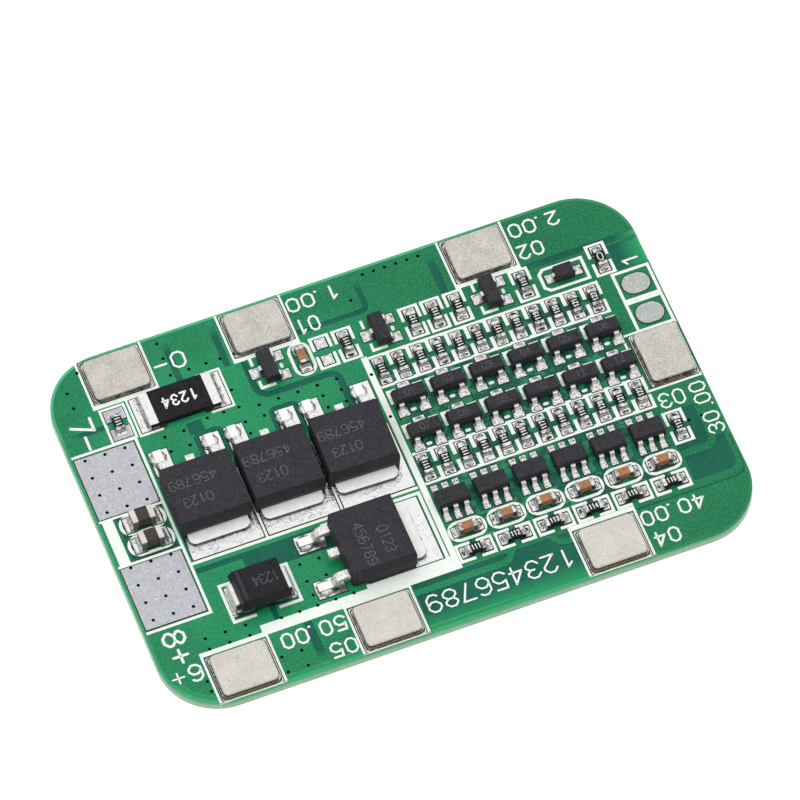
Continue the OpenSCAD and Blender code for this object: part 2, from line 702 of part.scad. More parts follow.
module sot6_leads() for (k = [-1:1], a = [0, 180])
    translate([k*sot6_pitch, 0, 0]) rotate(a) sot_lead(sot6_w, sot6_span, 0.4);

module sot3_bodies(places) color([0.22, 0.21, 0.23]) on_pads(places) difference() {
    sot_body(sot3_w);
    sot3_leads();
}

module sot3_lead_sets(places) color([0.85, 0.85, 0.86]) on_pads(places) sot3_leads();

module monitor_body(i) color([0.21, 0.2, 0.22]) on_pads([monitor_places()[i]]) difference() {
    sot_body(sot6_w);
    sot6_leads();
}

module monitor_leads() color([0.85, 0.85, 0.86]) on_pads(monitor_places()) sot6_leads();

// ---------- Chips ----------

// Core that both end caps close over
module chip_core(l, w, h) translate([0, 0, h/2]) cube([l - 2*cap_skin, w, h - 2*cap_skin], center = true);

// Resistor chip: core with a raised coat between its end caps
module res_bodies(places) color([0.12, 0.12, 0.13]) on_pads(places) res_body(chip_l, chip_w, res_h, chip_cap);

module res_body(l, w, h, cap) {
    chip_core(l, w, h);
    translate([0, 0, h - cap_skin]) linear_extrude(cap_skin) square([l - 2*cap, w], center = true);
}

module end_caps(l, w, h, cap, skin_w = 0) difference() {
    for (s = [-1, 1]) translate([s*(l - cap)/2, 0, h/2]) cube([cap, w, h], center = true);
    translate([0, 0, h/2]) cube([l - 2*cap_skin, skin_w > 0 ? skin_w : w + over, h - 2*cap_skin], center = true);
}

module res_caps(places) color([0.86, 0.86, 0.87]) on_pads(places) end_caps(chip_l, chip_w, res_h, chip_cap);

// Capacitor chip: a plain ceramic block, capped on five sides
module cap_bodies(places, size) on_pads(places) chip_core(size.x, size.y - 2*cap_skin, size.z);

module cap_caps(places, size, cap) color([0.86, 0.86, 0.87]) on_pads(places)
    end_caps(size.x, size.y, size.z, cap, size.y - 2*cap_skin);

module shunt_body() color([0.13, 0.13, 0.14]) on_pads([shunt_place]) res_body(shunt_l, shunt_w, shunt_h, shunt_cap);

module shunt_caps() color([0.86, 0.86, 0.87]) on_pads([shunt_place])
    end_caps(shunt_l, shunt_w, shunt_h, shunt_cap);

// ---------- Diodes ----------

clamp_stand = clamp_lead_t + 0.04;
clamp_exit_z = clamp_h/2;
clamp_out = clamp_l/2 + 0.45;

module clamp_mould() difference() {
    translate([0, 0, clamp_stand])
        moulded(clamp_l, clamp_w, clamp_h - clamp_stand, clamp_exit_z + clamp_lead_t/2 - clamp_stand, 0.25);
    // Polarity band pressed into the top
    translate([-clamp_l/2 + 0.62, 0, clamp_h]) cube([0.34, clamp_w + over, 0.06], center = true);
}

module clamp_leads_solid() for (a = [-90, 90]) rotate(a) translate([0, clamp_l/2, 0])
    lead(j_fold(clamp_out - clamp_l/2, clamp_exit_z, clamp_lead_t, 0.85, 0.3), clamp_lead_w);

module clamp_diode_body() color([0.18, 0.17, 0.19]) on_pads([clamp_place]) difference() {
    clamp_mould();
    clamp_leads_solid();
}

module clamp_diode_leads() color([0.85, 0.85, 0.86]) on_pads([clamp_place]) clamp_leads_solid();

module signal_leads_solid() for (a = [-90, 90]) rotate(a) translate([0, signal_size.x/2, 0])
    lead(gull((signal_span - signal_size.x)/2, 0.4, sot_lead_t, 0.05, 75, 0.2), 0.32);

module signal_diode_body() color([0.2, 0.19, 0.21]) on_pads([signal_place]) difference() {
    translate([0, 0, 0.06]) moulded(signal_size.x, signal_size.y, signal_size.z - 0.06, 0.4, 0.08);
    signal_leads_solid();
    translate([-signal_size.x/2 + 0.38, 0, signal_size.z]) cube([0.2, 3, 0.04], center = true);
}

module signal_diode_leads() color([0.85, 0.85, 0.86]) on_pads([signal_place]) signal_leads_solid();

// ---------- One line per node ----------

circuit_board();
solder_pads();
silkscreen();
tab_solder();
part_solder();
for (i = [0:6]) cell_tab(i);
for (i = [0:3]) {
    power_switch_body(i);
    power_switch_leadframe(i);
}
for (i = [0:channels - 1]) monitor_body(i);
monitor_leads();
sot3_bodies(sot_row(row_upper_sot));  // upper_transistor_bodies
sot3_lead_sets(sot_row(row_upper_sot));  // upper_transistor_leads
sot3_bodies(sot_row(row_lower_sot));  // lower_transistor_bodies
sot3_lead_sets(sot_row(row_lower_sot));  // lower_transistor_leads
sot3_bodies(rear_sot);  // rear_transistor_bodies
sot3_lead_sets(rear_sot);  // rear_transistor_leads
res_bodies(upper_res());  // upper_resistor_bodies
res_caps(upper_res());  // upper_resistor_caps
res_bodies(lower_res());  // lower_resistor_bodies
res_caps(lower_res());  // lower_resistor_caps
res_bodies(front_res());  // front_resistor_bodies
res_caps(front_res());  // front_resistor_caps
res_bodies(rear_res);  // rear_resistor_bodies
res_caps(rear_res);  // rear_resistor_caps
res_bodies(side_res);  // side_resistor_bodies
res_caps(side_res);  // side_resistor_caps
color([0.78, 0.5, 0.32]) cap_bodies(ceramic_caps(), [chip_l, chip_w, cap_h]);  // ceramic_capacitor_bodies
cap_caps(ceramic_caps(), [chip_l, chip_w, cap_h], chip_cap);  // ceramic_capacitor_caps
color([0.36, 0.27, 0.23]) cap_bodies(load_caps, load_cap_size);  // load_capacitor_bodies
cap_caps(load_caps, load_cap_size, load_cap_end);  // load_capacitor_caps
shunt_body();
shunt_caps();
clamp_diode_body();
clamp_diode_leads();
signal_diode_body();
signal_diode_leads();
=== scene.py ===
# %% [markdown]
# # A battery management board, dressed for a close look
# The packed model already holds every part of the board at its real size: laminate, pads,
# tabs, switches, chips and leads. This lesson gives each of them its finish, rounds the edges
# that catch the light, wets the joints with solder and prints the lettering.
#
# Everything is placed from the packed model itself, so if a part moves there, its solder,
# marking and print move along with it.

# %% Load the packed board
import json
import math
import random

import bpy
from mathutils import Matrix, Vector


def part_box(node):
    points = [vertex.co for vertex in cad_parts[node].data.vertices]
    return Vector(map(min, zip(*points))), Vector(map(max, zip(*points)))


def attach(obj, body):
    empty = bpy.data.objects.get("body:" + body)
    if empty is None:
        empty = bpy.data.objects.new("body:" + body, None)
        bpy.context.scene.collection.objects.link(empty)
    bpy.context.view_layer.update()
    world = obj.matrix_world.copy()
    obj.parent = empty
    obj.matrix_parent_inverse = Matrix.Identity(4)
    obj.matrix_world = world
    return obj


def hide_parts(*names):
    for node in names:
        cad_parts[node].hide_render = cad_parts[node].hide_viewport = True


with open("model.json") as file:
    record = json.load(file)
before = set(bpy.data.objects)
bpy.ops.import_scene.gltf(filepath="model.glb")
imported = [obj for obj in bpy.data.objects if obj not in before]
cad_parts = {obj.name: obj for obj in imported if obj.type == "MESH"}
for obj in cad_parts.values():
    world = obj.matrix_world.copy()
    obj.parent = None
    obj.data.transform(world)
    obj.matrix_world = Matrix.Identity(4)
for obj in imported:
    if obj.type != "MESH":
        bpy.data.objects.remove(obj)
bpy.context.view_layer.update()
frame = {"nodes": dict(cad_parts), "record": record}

MM = 0.001
slot_of = {row["node"]: row["material_slot"] for row in frame["record"]["subparts"]}

# %% [markdown]
# ## Reading places from the model
# A node such as the row of resistors is many separate solids in one mesh. A solid is found by
# joining corners that share a face, the way you would follow a thread from knot to knot. Its
# lowest and highest corner then say where a mark or a drop of solder belongs.


# %% Boxes of the separate solids in a node
def solids(node):
    """Lowest and highest corner of each group of faces that hang together."""
    mesh = frame["nodes"][node].data
    spots = [tuple(round(c * 1e7) for c in v.co) for v in mesh.vertices]
    parent = {spot: spot for spot in spots}

    def root(spot):
        while parent[spot] != spot:
            parent[spot] = parent[parent[spot]]
            spot = parent[spot]
        return spot

    for face in mesh.polygons:
        first, *others = [spots[i] for i in face.vertices]
        for other in others:
            parent[root(other)] = root(first)
    groups = {}
    for spot in parent:
        groups.setdefault(root(spot), []).append(spot)
    boxes = [(Vector(map(min, zip(*g))) * 1e-7, Vector(map(max, zip(*g))) * 1e-7) for g in groups.values()]
    return sorted(boxes, key=lambda b: (round(b[0].x, 6), round(b[0].y, 6)))


def middle(box):
    return (box[0] + box[1]) / 2


board_low, board_top = (corner.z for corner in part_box("circuit_board"))
board_left, half_l = (corner.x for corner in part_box("circuit_board"))
half_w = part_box("circuit_board")[1].y
pad_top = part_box("solder_pads")[1].z
pads = solids("solder_pads")
tabs = {node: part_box(node) for node in frame["nodes"] if node.startswith("tab_b")}
print(len(pads), "pads,", len(tabs), "tabs")
print("board top", round(board_top / MM, 3), "mm, pads", round((pad_top - board_top) / MM, 3), "mm above it")

# %% [markdown] ## A small kit for finishes Every finish here is a Principled shader fed by a
# few textures that are worked out at each point, so nothing is painted by hand and nothing
# shows a seam. Patterns are measured in millimetres on the object itself.


# %% Node kit
class Kit:
    """Adds nodes to one tree. A value may be a plain number, a colour or another node's output."""

    def __init__(self, tree):
        self.tree = tree

    def add(self, kind, **settings):
        node = self.tree.nodes.new(kind)
        for name, value in settings.items():
            setattr(node, name, value)
        return node

    def feed(self, socket, value):
        if isinstance(value, bpy.types.NodeSocket):
            self.tree.links.new(value, socket)
        else:
            socket.default_value = value

    def sums(self, work, a, b=0.0):
        node = self.add("ShaderNodeMath", operation=work)
        self.feed(node.inputs[0], a)
        self.feed(node.inputs[1], b)
        return node.outputs[0]

    def times(self, first, *others):
        for other in others:
            first = self.sums("MULTIPLY", first, other)
        return first

    def vectors(self, work, a, b=(0, 0, 0)):
        node = self.add("ShaderNodeVectorMath", operation=work)
        self.feed(node.inputs[0], a)
        self.feed(node.inputs[1], b)
        return node.outputs["Value" if work == "LENGTH" else "Vector"]

    def spread(self, value, low, high, to_low=0.0, to_high=1.0):
        """Stretches low..high to another range, and holds it at the ends."""
        node = self.add("ShaderNodeMapRange")
        for i, number in enumerate((value, low, high, to_low, to_high)):
            self.feed(node.inputs[i], number)
        return node.outputs[0]

    def fades(self, value, low, high):
        """1 up to low, and 0 from high on."""
        return self.spread(value, low, high, 1.0, 0.0)

    def blend(self, amount, a, b):
        """The colour a where the amount is 0, and b where it is 1."""
        node = self.add("ShaderNodeMix", data_type="RGBA")
        for i, value in ((0, amount), (6, a), (7, b)):
            self.feed(node.inputs[i], value)
        return node.outputs[2]


print("the kit can:", *[name for name in vars(Kit) if name[0] != "_"])

# %% Finish kit
finishes = {}


def tone(red, green, blue):
    """A colour as a screen shows it, 0 to 255, in the linear values that Blender works with."""
    parts = [c / 255 for c in (red, green, blue)]
    return (*[c / 12.92 if c <= 0.04045 else ((c + 0.055) / 1.055) ** 2.4 for c in parts], 1.0)


def shade(colour, share):
    return (*[share * c for c in colour[:3]], 1.0)


class Finish(Kit):
    """One material with its shader and its place on the object."""

    def __init__(self, name, base, rough, metal=0.0, gloss=0.5):
        finishes[name] = bpy.data.materials.new(name)
        finishes[name].use_nodes = True
        super().__init__(finishes[name].node_tree)
        self.shader = self.tree.nodes["Principled BSDF"]
        for socket, value in (("Base Color", base), ("Roughness", rough), ("Metallic", metal),
                              ("Specular IOR Level", gloss)):
            self.use(socket, value)
        self.place = self.add("ShaderNodeTexCoord").outputs["Object"]

    def use(self, socket, value):
        self.feed(self.shader.inputs[socket], value)

    def noise(self, size, detail=2.0, stretch=(1, 1, 1), warp=0.0):
        """Cloudy pattern from 0 to 1 whose blobs are about this many millimetres wide."""
        mapping = self.add("ShaderNodeMapping")
        self.feed(mapping.inputs["Vector"], self.place)
        mapping.inputs["Scale"].default_value = [s / (size * MM) for s in stretch]
        node = self.add("ShaderNodeTexNoise")
        for socket, value in (("Vector", mapping.outputs[0]), ("Scale", 1.0), ("Detail", detail),
                              ("Distortion", warp)):
            self.feed(node.inputs[socket], value)
        return node.outputs[0]

    def mottled(self, a, b, size, detail=2.0, low=0.3, high=0.7, most=1.0, **shape):
        """Colour a with clouds of b; low and high say how much of the pattern turns to b."""
        return self.blend(self.spread(self.noise(size, detail, **shape), low, high, 0.0, most), a, b)

    def axis(self, name):
        node = self.add("ShaderNodeSeparateXYZ")
        self.feed(node.inputs[0], self.place)
        return node.outputs[name]

    def upwards(self, low=0.35, high=0.85):
        """1 where the surface faces up, 0 where it faces sideways."""
        parts = self.add("ShaderNodeSeparateXYZ")
        self.feed(parts.inputs[0], self.add("ShaderNodeTexCoord").outputs["Normal"])
        return self.spread(parts.outputs["Z"], low, high)

    def paint(self, colour):
        self.use("Base Color", colour)

    def rough(self, low, high, size):
        self.use("Roughness", self.spread(self.noise(size), 0.3, 0.7, low, high))

    def bump(self, height, depth):
        """Raises the surface by this many millimetres where the pattern is 1."""
        node = self.add("ShaderNodeBump")
        node.inputs["Distance"].default_value = depth * MM
        self.feed(node.inputs["Height"], height)
        if self.shader.inputs["Normal"].is_linked:
            self.feed(node.inputs["Normal"], self.shader.inputs["Normal"].links[0].from_socket)
        self.use("Normal", node.outputs[0])

    def grain(self, size, depth, detail=2.0, **shape):
        self.bump(self.noise(size, detail, **shape), depth)


print("a middle grey of 128 is", round(tone(128, 128, 128)[0], 3), "in linear light")

# %% [markdown]
# ## Solder mask: where a point lies
# The green skin is a lacquer over copper and laminate. The model has the channels between the
# copper areas and the bare rings round the pads as real recesses, so the depth of a point says
# which of them it is in. A second measure grows towards the outline of the board, round
# corners too. It is the length of what a point lies outside an inner rectangle, so there is no
# need for a painted map.

# %% Depth, and reach towards the outline
levels = sorted({round(v.co.z, 7) for v in frame["nodes"]["circuit_board"].data.vertices})
channel_depth, ring_depth = board_top - levels[-2], board_top - levels[-3]
corner_r = 5.25 * MM
mask = Finish("solder_mask", tone(16, 124, 78), 0.34, gloss=0.2)
across, along = mask.axis("X"), mask.axis("Y")
depth = mask.sums("SUBTRACT", board_top, mask.axis("Z"))
corner_centre = (half_l - corner_r, half_w - corner_r, 1.0)
inner = mask.vectors("SUBTRACT", mask.vectors("ABSOLUTE", mask.place), corner_centre)
reach = mask.vectors("LENGTH", mask.vectors("MAXIMUM", inner))


def around(*nodes):
    """The box that holds all of these nodes."""
    lows, highs = zip(*[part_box(node) for node in nodes])
    return Vector(map(min, zip(*lows))), Vector(map(max, zip(*highs)))


def inside(box, grown=0.0, soft=0.3):
    """1 inside a box grown by some millimetres, 0 outside it, with a soft border."""
    result = 1.0
    for place, low, high in ((across, box[0].x, box[1].x), (along, box[0].y, box[1].y)):
        low, high = low - grown * MM, high + grown * MM
        result = mask.times(mask.spread(place, low - soft * MM, low + soft * MM),
                            mask.fades(place, high - soft * MM, high + soft * MM), result)
    return result


print("channels", round(channel_depth / MM, 3), "mm deep, bare rings", round(ring_depth / MM, 3))

# %% [markdown]
# ## Solder mask: copper and laminate
# Over copper the skin looks bright, most of all left of the middle. Over laminate it lies lower and looks
# darker and bluer. Among the small parts the copper is cut up into tracks too fine to model, so a cloudy
# pattern drawn out along the board stands for them; it is also darker overall, which is painted shade that
# falls between the parts. Along the front edge and at the rear the laminate lets the light of the table
# through, and the channels glow green.

# %% Greens over copper and laminate
clouds = mask.spread(mask.noise(7.0, 3.0), 0.35, 0.65)
bright = mask.blend(clouds, tone(24, 122, 80), tone(34, 136, 90))
deep = mask.blend(clouds, tone(16, 98, 64), tone(24, 108, 70))
paler = mask.times(mask.fades(across, -8 * MM, 10 * MM),
                   mask.spread(reach, corner_r - 5 * MM, corner_r - 2.2 * MM, 1.0, 0.45))
over_copper = mask.blend(paler, deep, bright)
crowd = inside(around("upper_resistor_bodies", "front_resistor_bodies", "monitor_leads"), soft=0.8)
# Among the small parts: partly copper tracks, partly painted shade between the parts.
tracks_and_shade = mask.mottled(tone(12, 62, 56), tone(36, 118, 84), 0.8, 2.0, 0.5, 0.57,
                      stretch=(0.7, 1.1, 1.85), warp=0.5)
among_parts = mask.blend(mask.times(crowd, 0.9), over_copper, tracks_and_shade)

over_laminate = mask.blend(clouds, tone(4, 76, 64), tone(10, 88, 71))
front_edge = mask.times(mask.fades(along, -0.85 * half_w, -0.7 * half_w),
                        mask.fades(across, 12 * MM, 18 * MM))
lit = mask.times(mask.spread(reach, corner_r - 2.0 * MM, corner_r - 0.2 * MM),
                 mask.sums("ADD", front_edge, mask.spread(along, 4 * MM, 9 * MM)))
over_laminate = mask.blend(lit, over_laminate, tone(28, 140, 88))
sunk = mask.spread(depth, 0.3 * channel_depth, 0.7 * channel_depth)
green = mask.blend(sunk, among_parts, over_laminate)
print("mask so far:", len(mask.tree.nodes), "nodes")

# %% [markdown]
# ## Solder mask: painted rim light, painted shade, weave and sawn edge
# Four things finish the skin. A thin pale line near the front outline is a painted highlight, and a pale rim
# along the outline is painted light through the laminate edge. Painted shade darkens the skin round and
# between the two load capacitors. The weave of the glass cloth shows through as the finest grain, less so in
# the channels. Each pad has a bare ring, nearly black. The sawn edge shows layers of cloth, greener near the
# skin, the walls of the holes are painted dark as shade, and the underside is lacquered over one sheet of
# copper.

# %% The rest of the mask
# A thin pale line near the front outline: a painted highlight.
line = mask.sums("ABSOLUTE", mask.sums("SUBTRACT", reach, corner_r - 0.62 * MM))
line = mask.times(mask.fades(line, 0.02 * MM, 0.06 * MM), mask.fades(across, 0.0, 8 * MM),
                  mask.spread(along, -0.8 * half_w, -0.75 * half_w, 0.3, 0.0))
green = mask.blend(line, green, tone(120, 190, 150))
# A pale rim along the outline, strongest at the rear: painted light through the laminate edge.
rim_glow = mask.times(mask.spread(reach, corner_r - 0.3 * MM, corner_r - 0.2 * MM),
                 mask.spread(along, 0.5 * half_w, 0.9 * half_w, 0.35, 0.95),
                 mask.spread(across, 10 * MM, 17 * MM, 1.0, 0.4))
green = mask.blend(rim_glow, green, tone(84, 172, 128))
# Painted shade round and between the two load capacitors.
green = mask.blend(inside(around("load_capacitor_caps"), grown=1.1, soft=0.2), green, tone(12, 56, 44))

cloth = mask.noise(0.17)
shown = mask.spread(sunk, 0.0, 1.0, 1.0, 0.35)
hollow = mask.times(shown, mask.spread(cloth, 0.35, 0.5, 0.22, 0.0))
weave = mask.times(shown, mask.spread(cloth, 0.45, 0.65, 0.0, 0.26))
woven = tone(54, 164, 104)
green = mask.blend(weave, mask.blend(hollow, green, tone(6, 66, 40)), woven)
ring_step = ring_depth - channel_depth
bare = mask.spread(depth, channel_depth + 0.3 * ring_step, channel_depth + 0.7 * ring_step)
green = mask.blend(bare, green, tone(20, 44, 34))

layers = mask.mottled(tone(136, 168, 134), tone(176, 196, 166), 0.5, 3.0, 0.35, 0.65,
                      stretch=(0.25, 0.25, 9.0))
layers = mask.blend(mask.spread(depth, 0.25 * MM, 0.75 * MM), tone(78, 164, 120), layers)
sawn = mask.spread(reach, corner_r - 0.1 * MM, corner_r - 0.05 * MM)
# Sawn layers at the outline; the walls of the holes are painted dark as shade.
sawn_edge_and_hole_shade = mask.blend(sawn, tone(22, 52, 38), layers)
below_skin = mask.spread(depth, ring_depth + 0.01 * MM, ring_depth + 0.04 * MM)
above_base = mask.spread(mask.axis("Z"), 0.03 * MM, 0.08 * MM)
green = mask.blend(above_base, mask.blend(weave, over_copper, woven), green)
mask.paint(mask.blend(mask.times(below_skin, above_base), green, sawn_edge_and_hole_shade))
mask.rough(0.28, 0.42, 2.5)
mask.grain(0.35, 0.0035, 3.0)
print("mask in all:", len(mask.tree.nodes), "nodes")

# %% [markdown]
# ## Levelled tin
# The load and test pads are copper levelled with hot tin: satin, a little blue, with bright grains. The pads
# that carry parts are wetted. There the solder froze as a liquid, bright and wavy, with wandering lines
# painted nearly black as dark reflections. Such a line is where a cloudy pattern passes its middle value,
# which always makes a thin line that never ends in the open.


# %% Levelled and wetted pads
def dark_reflection_lines(metal, size, thin):
    """Wandering thin lines, used for painted dark reflections: 1 on the line and 0 beside it."""
    away = metal.sums("ABSOLUTE", metal.sums("SUBTRACT", metal.noise(size, 1.5, warp=1.2), 0.5))
    return metal.times(metal.fades(away, 0.0, thin), metal.spread(metal.noise(1.3 * size), 0.42, 0.55))


load_strip, test_strip, test_from = 5.8 * MM, 3.3 * MM, 3.0 * MM
tin = Finish("tinned_copper", tone(196, 198, 204), 0.4, metal=1.0)
load_end = tin.sums("LESS_THAN", tin.axis("X"), board_left + load_strip)
test_end = tin.times(tin.sums("GREATER_THAN", tin.axis("X"), half_l - test_strip),
                     tin.sums("GREATER_THAN", tin.axis("Y"), test_from))
wetted = tin.sums("SUBTRACT", 1.0, tin.sums("ADD", load_end, test_end))
satin = tin.mottled(tone(196, 198, 204), tone(210, 212, 218), 0.5, 4.0)
satin = tin.blend(test_end, satin, tone(194, 200, 194))
satin = tin.mottled(satin, tone(238, 240, 244), 0.16, 2.0, 0.58, 0.7)
satin = tin.mottled(satin, tone(160, 163, 170), 0.15, 2.0, 0.58, 0.7, 0.8, warp=0.3)
liquid = tin.mottled(tone(236, 238, 238), tone(250, 250, 250), 0.5, 4.0)
# Nearly black wandering lines on the wetted pads: painted dark reflections.
dark_reflections = tin.times(dark_reflection_lines(tin, 0.7, 0.022), tin.spread(tin.noise(2.2), 0.48, 0.6, 0.1, 0.85))
liquid = tin.blend(dark_reflections, liquid, tone(84, 88, 90))
tin.paint(tin.blend(wetted, satin, liquid))
tin.use("Roughness", tin.spread(wetted, 0.0, 1.0, 0.42, 0.22))
tin.grain(0.16, 0.006, 3.0)
tin.bump(tin.times(tin.noise(0.45, warp=0.8), wetted), 0.04)
print("tin:", len(tin.tree.nodes), "nodes")

# %% [markdown]
# ## Frozen solder
# A drop of solder is white where it is full, with nearly black patches and wandering lines painted in as
# dark reflections. Beside a small chip it is a mosaic of painted bright highlights and painted dark
# reflections. Warped clouds, cut off at a narrow range, look like metal that ran.

# %% Solder, and the joints of chips
solder = Finish("solder", tone(236, 233, 233), 0.24, metal=0.85)
patches = solder.noise(0.33, warp=0.8)
skin_and_reflections = solder.blend(solder.spread(patches, 0.3, 0.7), tone(222, 220, 220), tone(252, 250, 250))
# Nearly black patches and lines: painted dark reflections.
skin_and_reflections = solder.blend(solder.spread(patches, 0.3, 0.38, 0.8, 0.0), skin_and_reflections, tone(52, 58, 56))
solder.paint(solder.blend(dark_reflection_lines(solder, 0.5, 0.03), skin_and_reflections, tone(60, 64, 64)))
solder.rough(0.14, 0.3, 0.2)
solder.grain(0.4, 0.05, warp=0.6)

joint = Finish("chip_solder", tone(170, 168, 166), 0.28, metal=0.85)
# Dark hollows and bright flecks: painted dark reflections and painted highlights.
fill_and_reflections = joint.mottled(tone(50, 60, 56), tone(188, 188, 185), 0.42, 2.0, 0.42, 0.54, warp=1.0)
joint.paint(joint.mottled(fill_and_reflections, tone(248, 247, 246), 0.42, 2.0, 0.57, 0.64, warp=1.0))
joint.rough(0.18, 0.36, 0.2)
joint.grain(0.4, 0.05, warp=0.6)
print("finishes so far:", *finishes)

# %% [markdown]
# ## Leads, end caps and leadframes
# Leads are tinned and slightly rough. The plated ends of a chip are bright on top and dark where they face
# sideways, because they mirror the board there. A switch's leadframe was stamped from a sheet. Its face is
# pale, and where it turns sideways and on its cut sides it is painted dark as shade. Face and side are told
# apart by height, which needs no second material. Where a lead is bent up, painted shade makes it duller.

# %% Leads, caps and stamped metal
lead = Finish("tinned_lead", tone(240, 238, 236), 0.36, metal=0.85)
lead.paint(lead.mottled(tone(230, 228, 226), tone(252, 251, 249), 0.3, 3.0))
lead.rough(0.28, 0.44, 0.15)
lead.grain(0.14, 0.006, 3.0)

cap = Finish("chip_cap", tone(170, 168, 166), 0.34, metal=0.85)
cap_top = cap.mottled(tone(140, 140, 138), tone(242, 240, 238), 0.35, 2.0, 0.4, 0.6, warp=0.6)
cap_side = cap.mottled(tone(38, 40, 40), tone(112, 112, 110), 0.35, 2.0, 0.4, 0.6, warp=0.6)
cap.paint(cap.blend(cap.upwards(), cap_side, cap_top))
cap.rough(0.25, 0.4, 0.2)
cap.grain(0.25, 0.02)


def sheet_with_shade(name, face_z, light, side_shade, metal, bent_shade=0.0):
    """Pale on top, with painted shade where it faces sideways and on the sides below the face; metal bent up
    above the face can get painted shade too.
    """
    sheet = Finish(name, light, 0.42, metal=metal)
    fine, broad = sheet.spread(sheet.noise(0.13), 0.3, 0.7), sheet.spread(sheet.noise(0.8, 3.0), 0.42, 0.62)
    face_and_shade = sheet.blend(sheet.times(fine, broad), shade(light, 0.84), light)
    # Faces that turn sideways get painted shade.
    face_and_shade = sheet.blend(sheet.upwards(0.3, 0.8), shade(light, 0.3), face_and_shade)
    height = sheet.axis("Z")
    # Metal bent up above the face gets painted shade.
    bent_shaded = sheet.times(sheet.spread(height, face_z + 0.05 * MM, face_z + 0.15 * MM), bent_shade)
    face_and_shade = sheet.blend(bent_shaded, face_and_shade, sheet.mottled(tone(130, 126, 122), light, 0.2, 2.0, 0.4, 0.6))
    # The sides below the face are painted dark as shade.
    shaded_sides = sheet.mottled(side_shade, shade(side_shade, 2.5), 0.3, 2.0, 0.4, 0.6)
    sheet.paint(sheet.blend(sheet.fades(height, face_z - 0.12 * MM, face_z - 0.05 * MM), face_and_shade, shaded_sides))
    sheet.grain(0.14, 0.006, 3.0)


sheet_with_shade("switch_metal", pad_top + 0.5 * MM, tone(250, 248, 244), tone(30, 30, 28), 0.22, bent_shade=0.45)
caps_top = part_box("load_capacitor_caps")[1].z
# The load capacitors' caps: pale tops, with sides painted dark as shade.
sheet_with_shade("load_cap_metal", caps_top - 0.25 * MM, tone(226, 222, 214), tone(70, 70, 66), 0.6)
print("finishes so far:", *finishes)

# %% [markdown]
# ## Tabs and their flux
# The tabs are nickel-plated steel strip with a fine rolled grain and a few pits; the front row is painted a
# little lighter and warmer, as reflected light. Their cut sides carry a flux stain under painted shade,
# brown in front and nearly black behind.
# The flux that ran out from under them is amber and dries in pools.

# %% Nickel strip and flux
nickel = Finish("nickel_tab", tone(210, 206, 198), 0.42, metal=1.0)
face = nickel.mottled(tone(208, 204, 196), tone(226, 222, 214), 1.6, 3.0, 0.35, 0.65)
face = nickel.mottled(face, tone(246, 243, 236), 0.17, 1.0, 0.5, 0.72, 0.6, stretch=(1.0, 1.4, 1.0))
face = nickel.mottled(face, tone(158, 152, 142), 0.15, 1.0, 0.5, 0.72, 0.5, stretch=(0.7, 1.4, 1.0))
in_front = nickel.sums("LESS_THAN", nickel.axis("Y"), -0.5 * half_w)
# The front row is painted a little lighter and warmer, as reflected light.
face = nickel.blend(nickel.times(in_front, 0.35), face, tone(244, 240, 228))
face = nickel.mottled(face, tone(120, 105, 95), 0.3, 1.0, 0.76, 0.8, 0.6)
tab_face = tabs["tab_b1"][1].z
# Cut sides: a flux stain under painted shade, brown in front and nearly black behind.
stain_and_shade = nickel.mottled(tone(38, 40, 32), tone(120, 122, 108), 0.35, 3.0, 0.45, 0.6)
stain_and_shade = nickel.blend(in_front, stain_and_shade, nickel.mottled(tone(70, 66, 34), tone(104, 98, 58), 0.11, 1.0))
sides = nickel.fades(nickel.axis("Z"), tab_face - 0.16 * MM, tab_face - 0.1 * MM)
nickel.paint(nickel.blend(sides, face, stain_and_shade))
nickel.rough(0.34, 0.5, 0.12)
nickel.grain(0.09, 0.0035, 3.0)
nickel.grain(0.5, 0.005)

flux = Finish("flux_residue", tone(62, 60, 36), 0.4, gloss=0.3)
flux.paint(flux.mottled(tone(44, 46, 26), tone(84, 80, 44), 0.8, 3.0, 0.35, 0.65))
flux.grain(0.3, 0.02)
print("nickel strip:", len(nickel.tree.nodes), "nodes, flux:", len(flux.tree.nodes))

# %% [markdown]
# ## Mouldings and their marks
# Moulding compound is epoxy filled with glass dust, so it is charcoal and slightly grainy, not
# glossy black. The clamp diode's is darker and smoother. A laser burns marks into it that are
# paler and matt.


# %% Moulding compound
def etched(name, faint, strong):
    mark = Finish(name, strong, 0.7, gloss=0.1)
    mark.paint(mark.mottled(faint, strong, 0.12, 2.0, 0.35, 0.6))


compound = Finish("black_moulding", tone(36, 36, 41), 0.58, gloss=0.22)
compound.paint(compound.mottled(tone(31, 31, 36), tone(54, 53, 59), 0.13, 3.0, 0.35, 0.65))
compound.rough(0.5, 0.66, 0.7)
compound.grain(0.1, 0.004, 3.0)
clamp_compound = Finish("glossy_moulding", tone(22, 20, 24), 0.4, gloss=0.22)
clamp_compound.paint(clamp_compound.mottled(tone(18, 16, 20), tone(30, 27, 33), 0.4, 3.0))
clamp_compound.grain(0.25, 0.006, 3.0)
etched("etched_mark", tone(62, 62, 67), tone(112, 112, 117))
etched("band_mark", tone(40, 38, 42), tone(66, 64, 68))
print("finishes so far:", len(finishes))

# %% [markdown]
# ## Glaze, ceramics and ink
# Resistors wear a smooth glaze. Capacitors are fired ceramic: tan or dark brown. The ink is
# screen-printed, a little uneven where it was pressed thin. With these the palette is complete,
# and every packed node gets the finish that its record names.


# %% Glaze, ceramics and ink
def ceramic(name, side_shade, light):
    core = Finish(name, light, 0.45, gloss=0.4)
    core.paint(core.mottled(side_shade, light, 0.25, 3.0))
    core.grain(0.12, 0.004, 3.0)


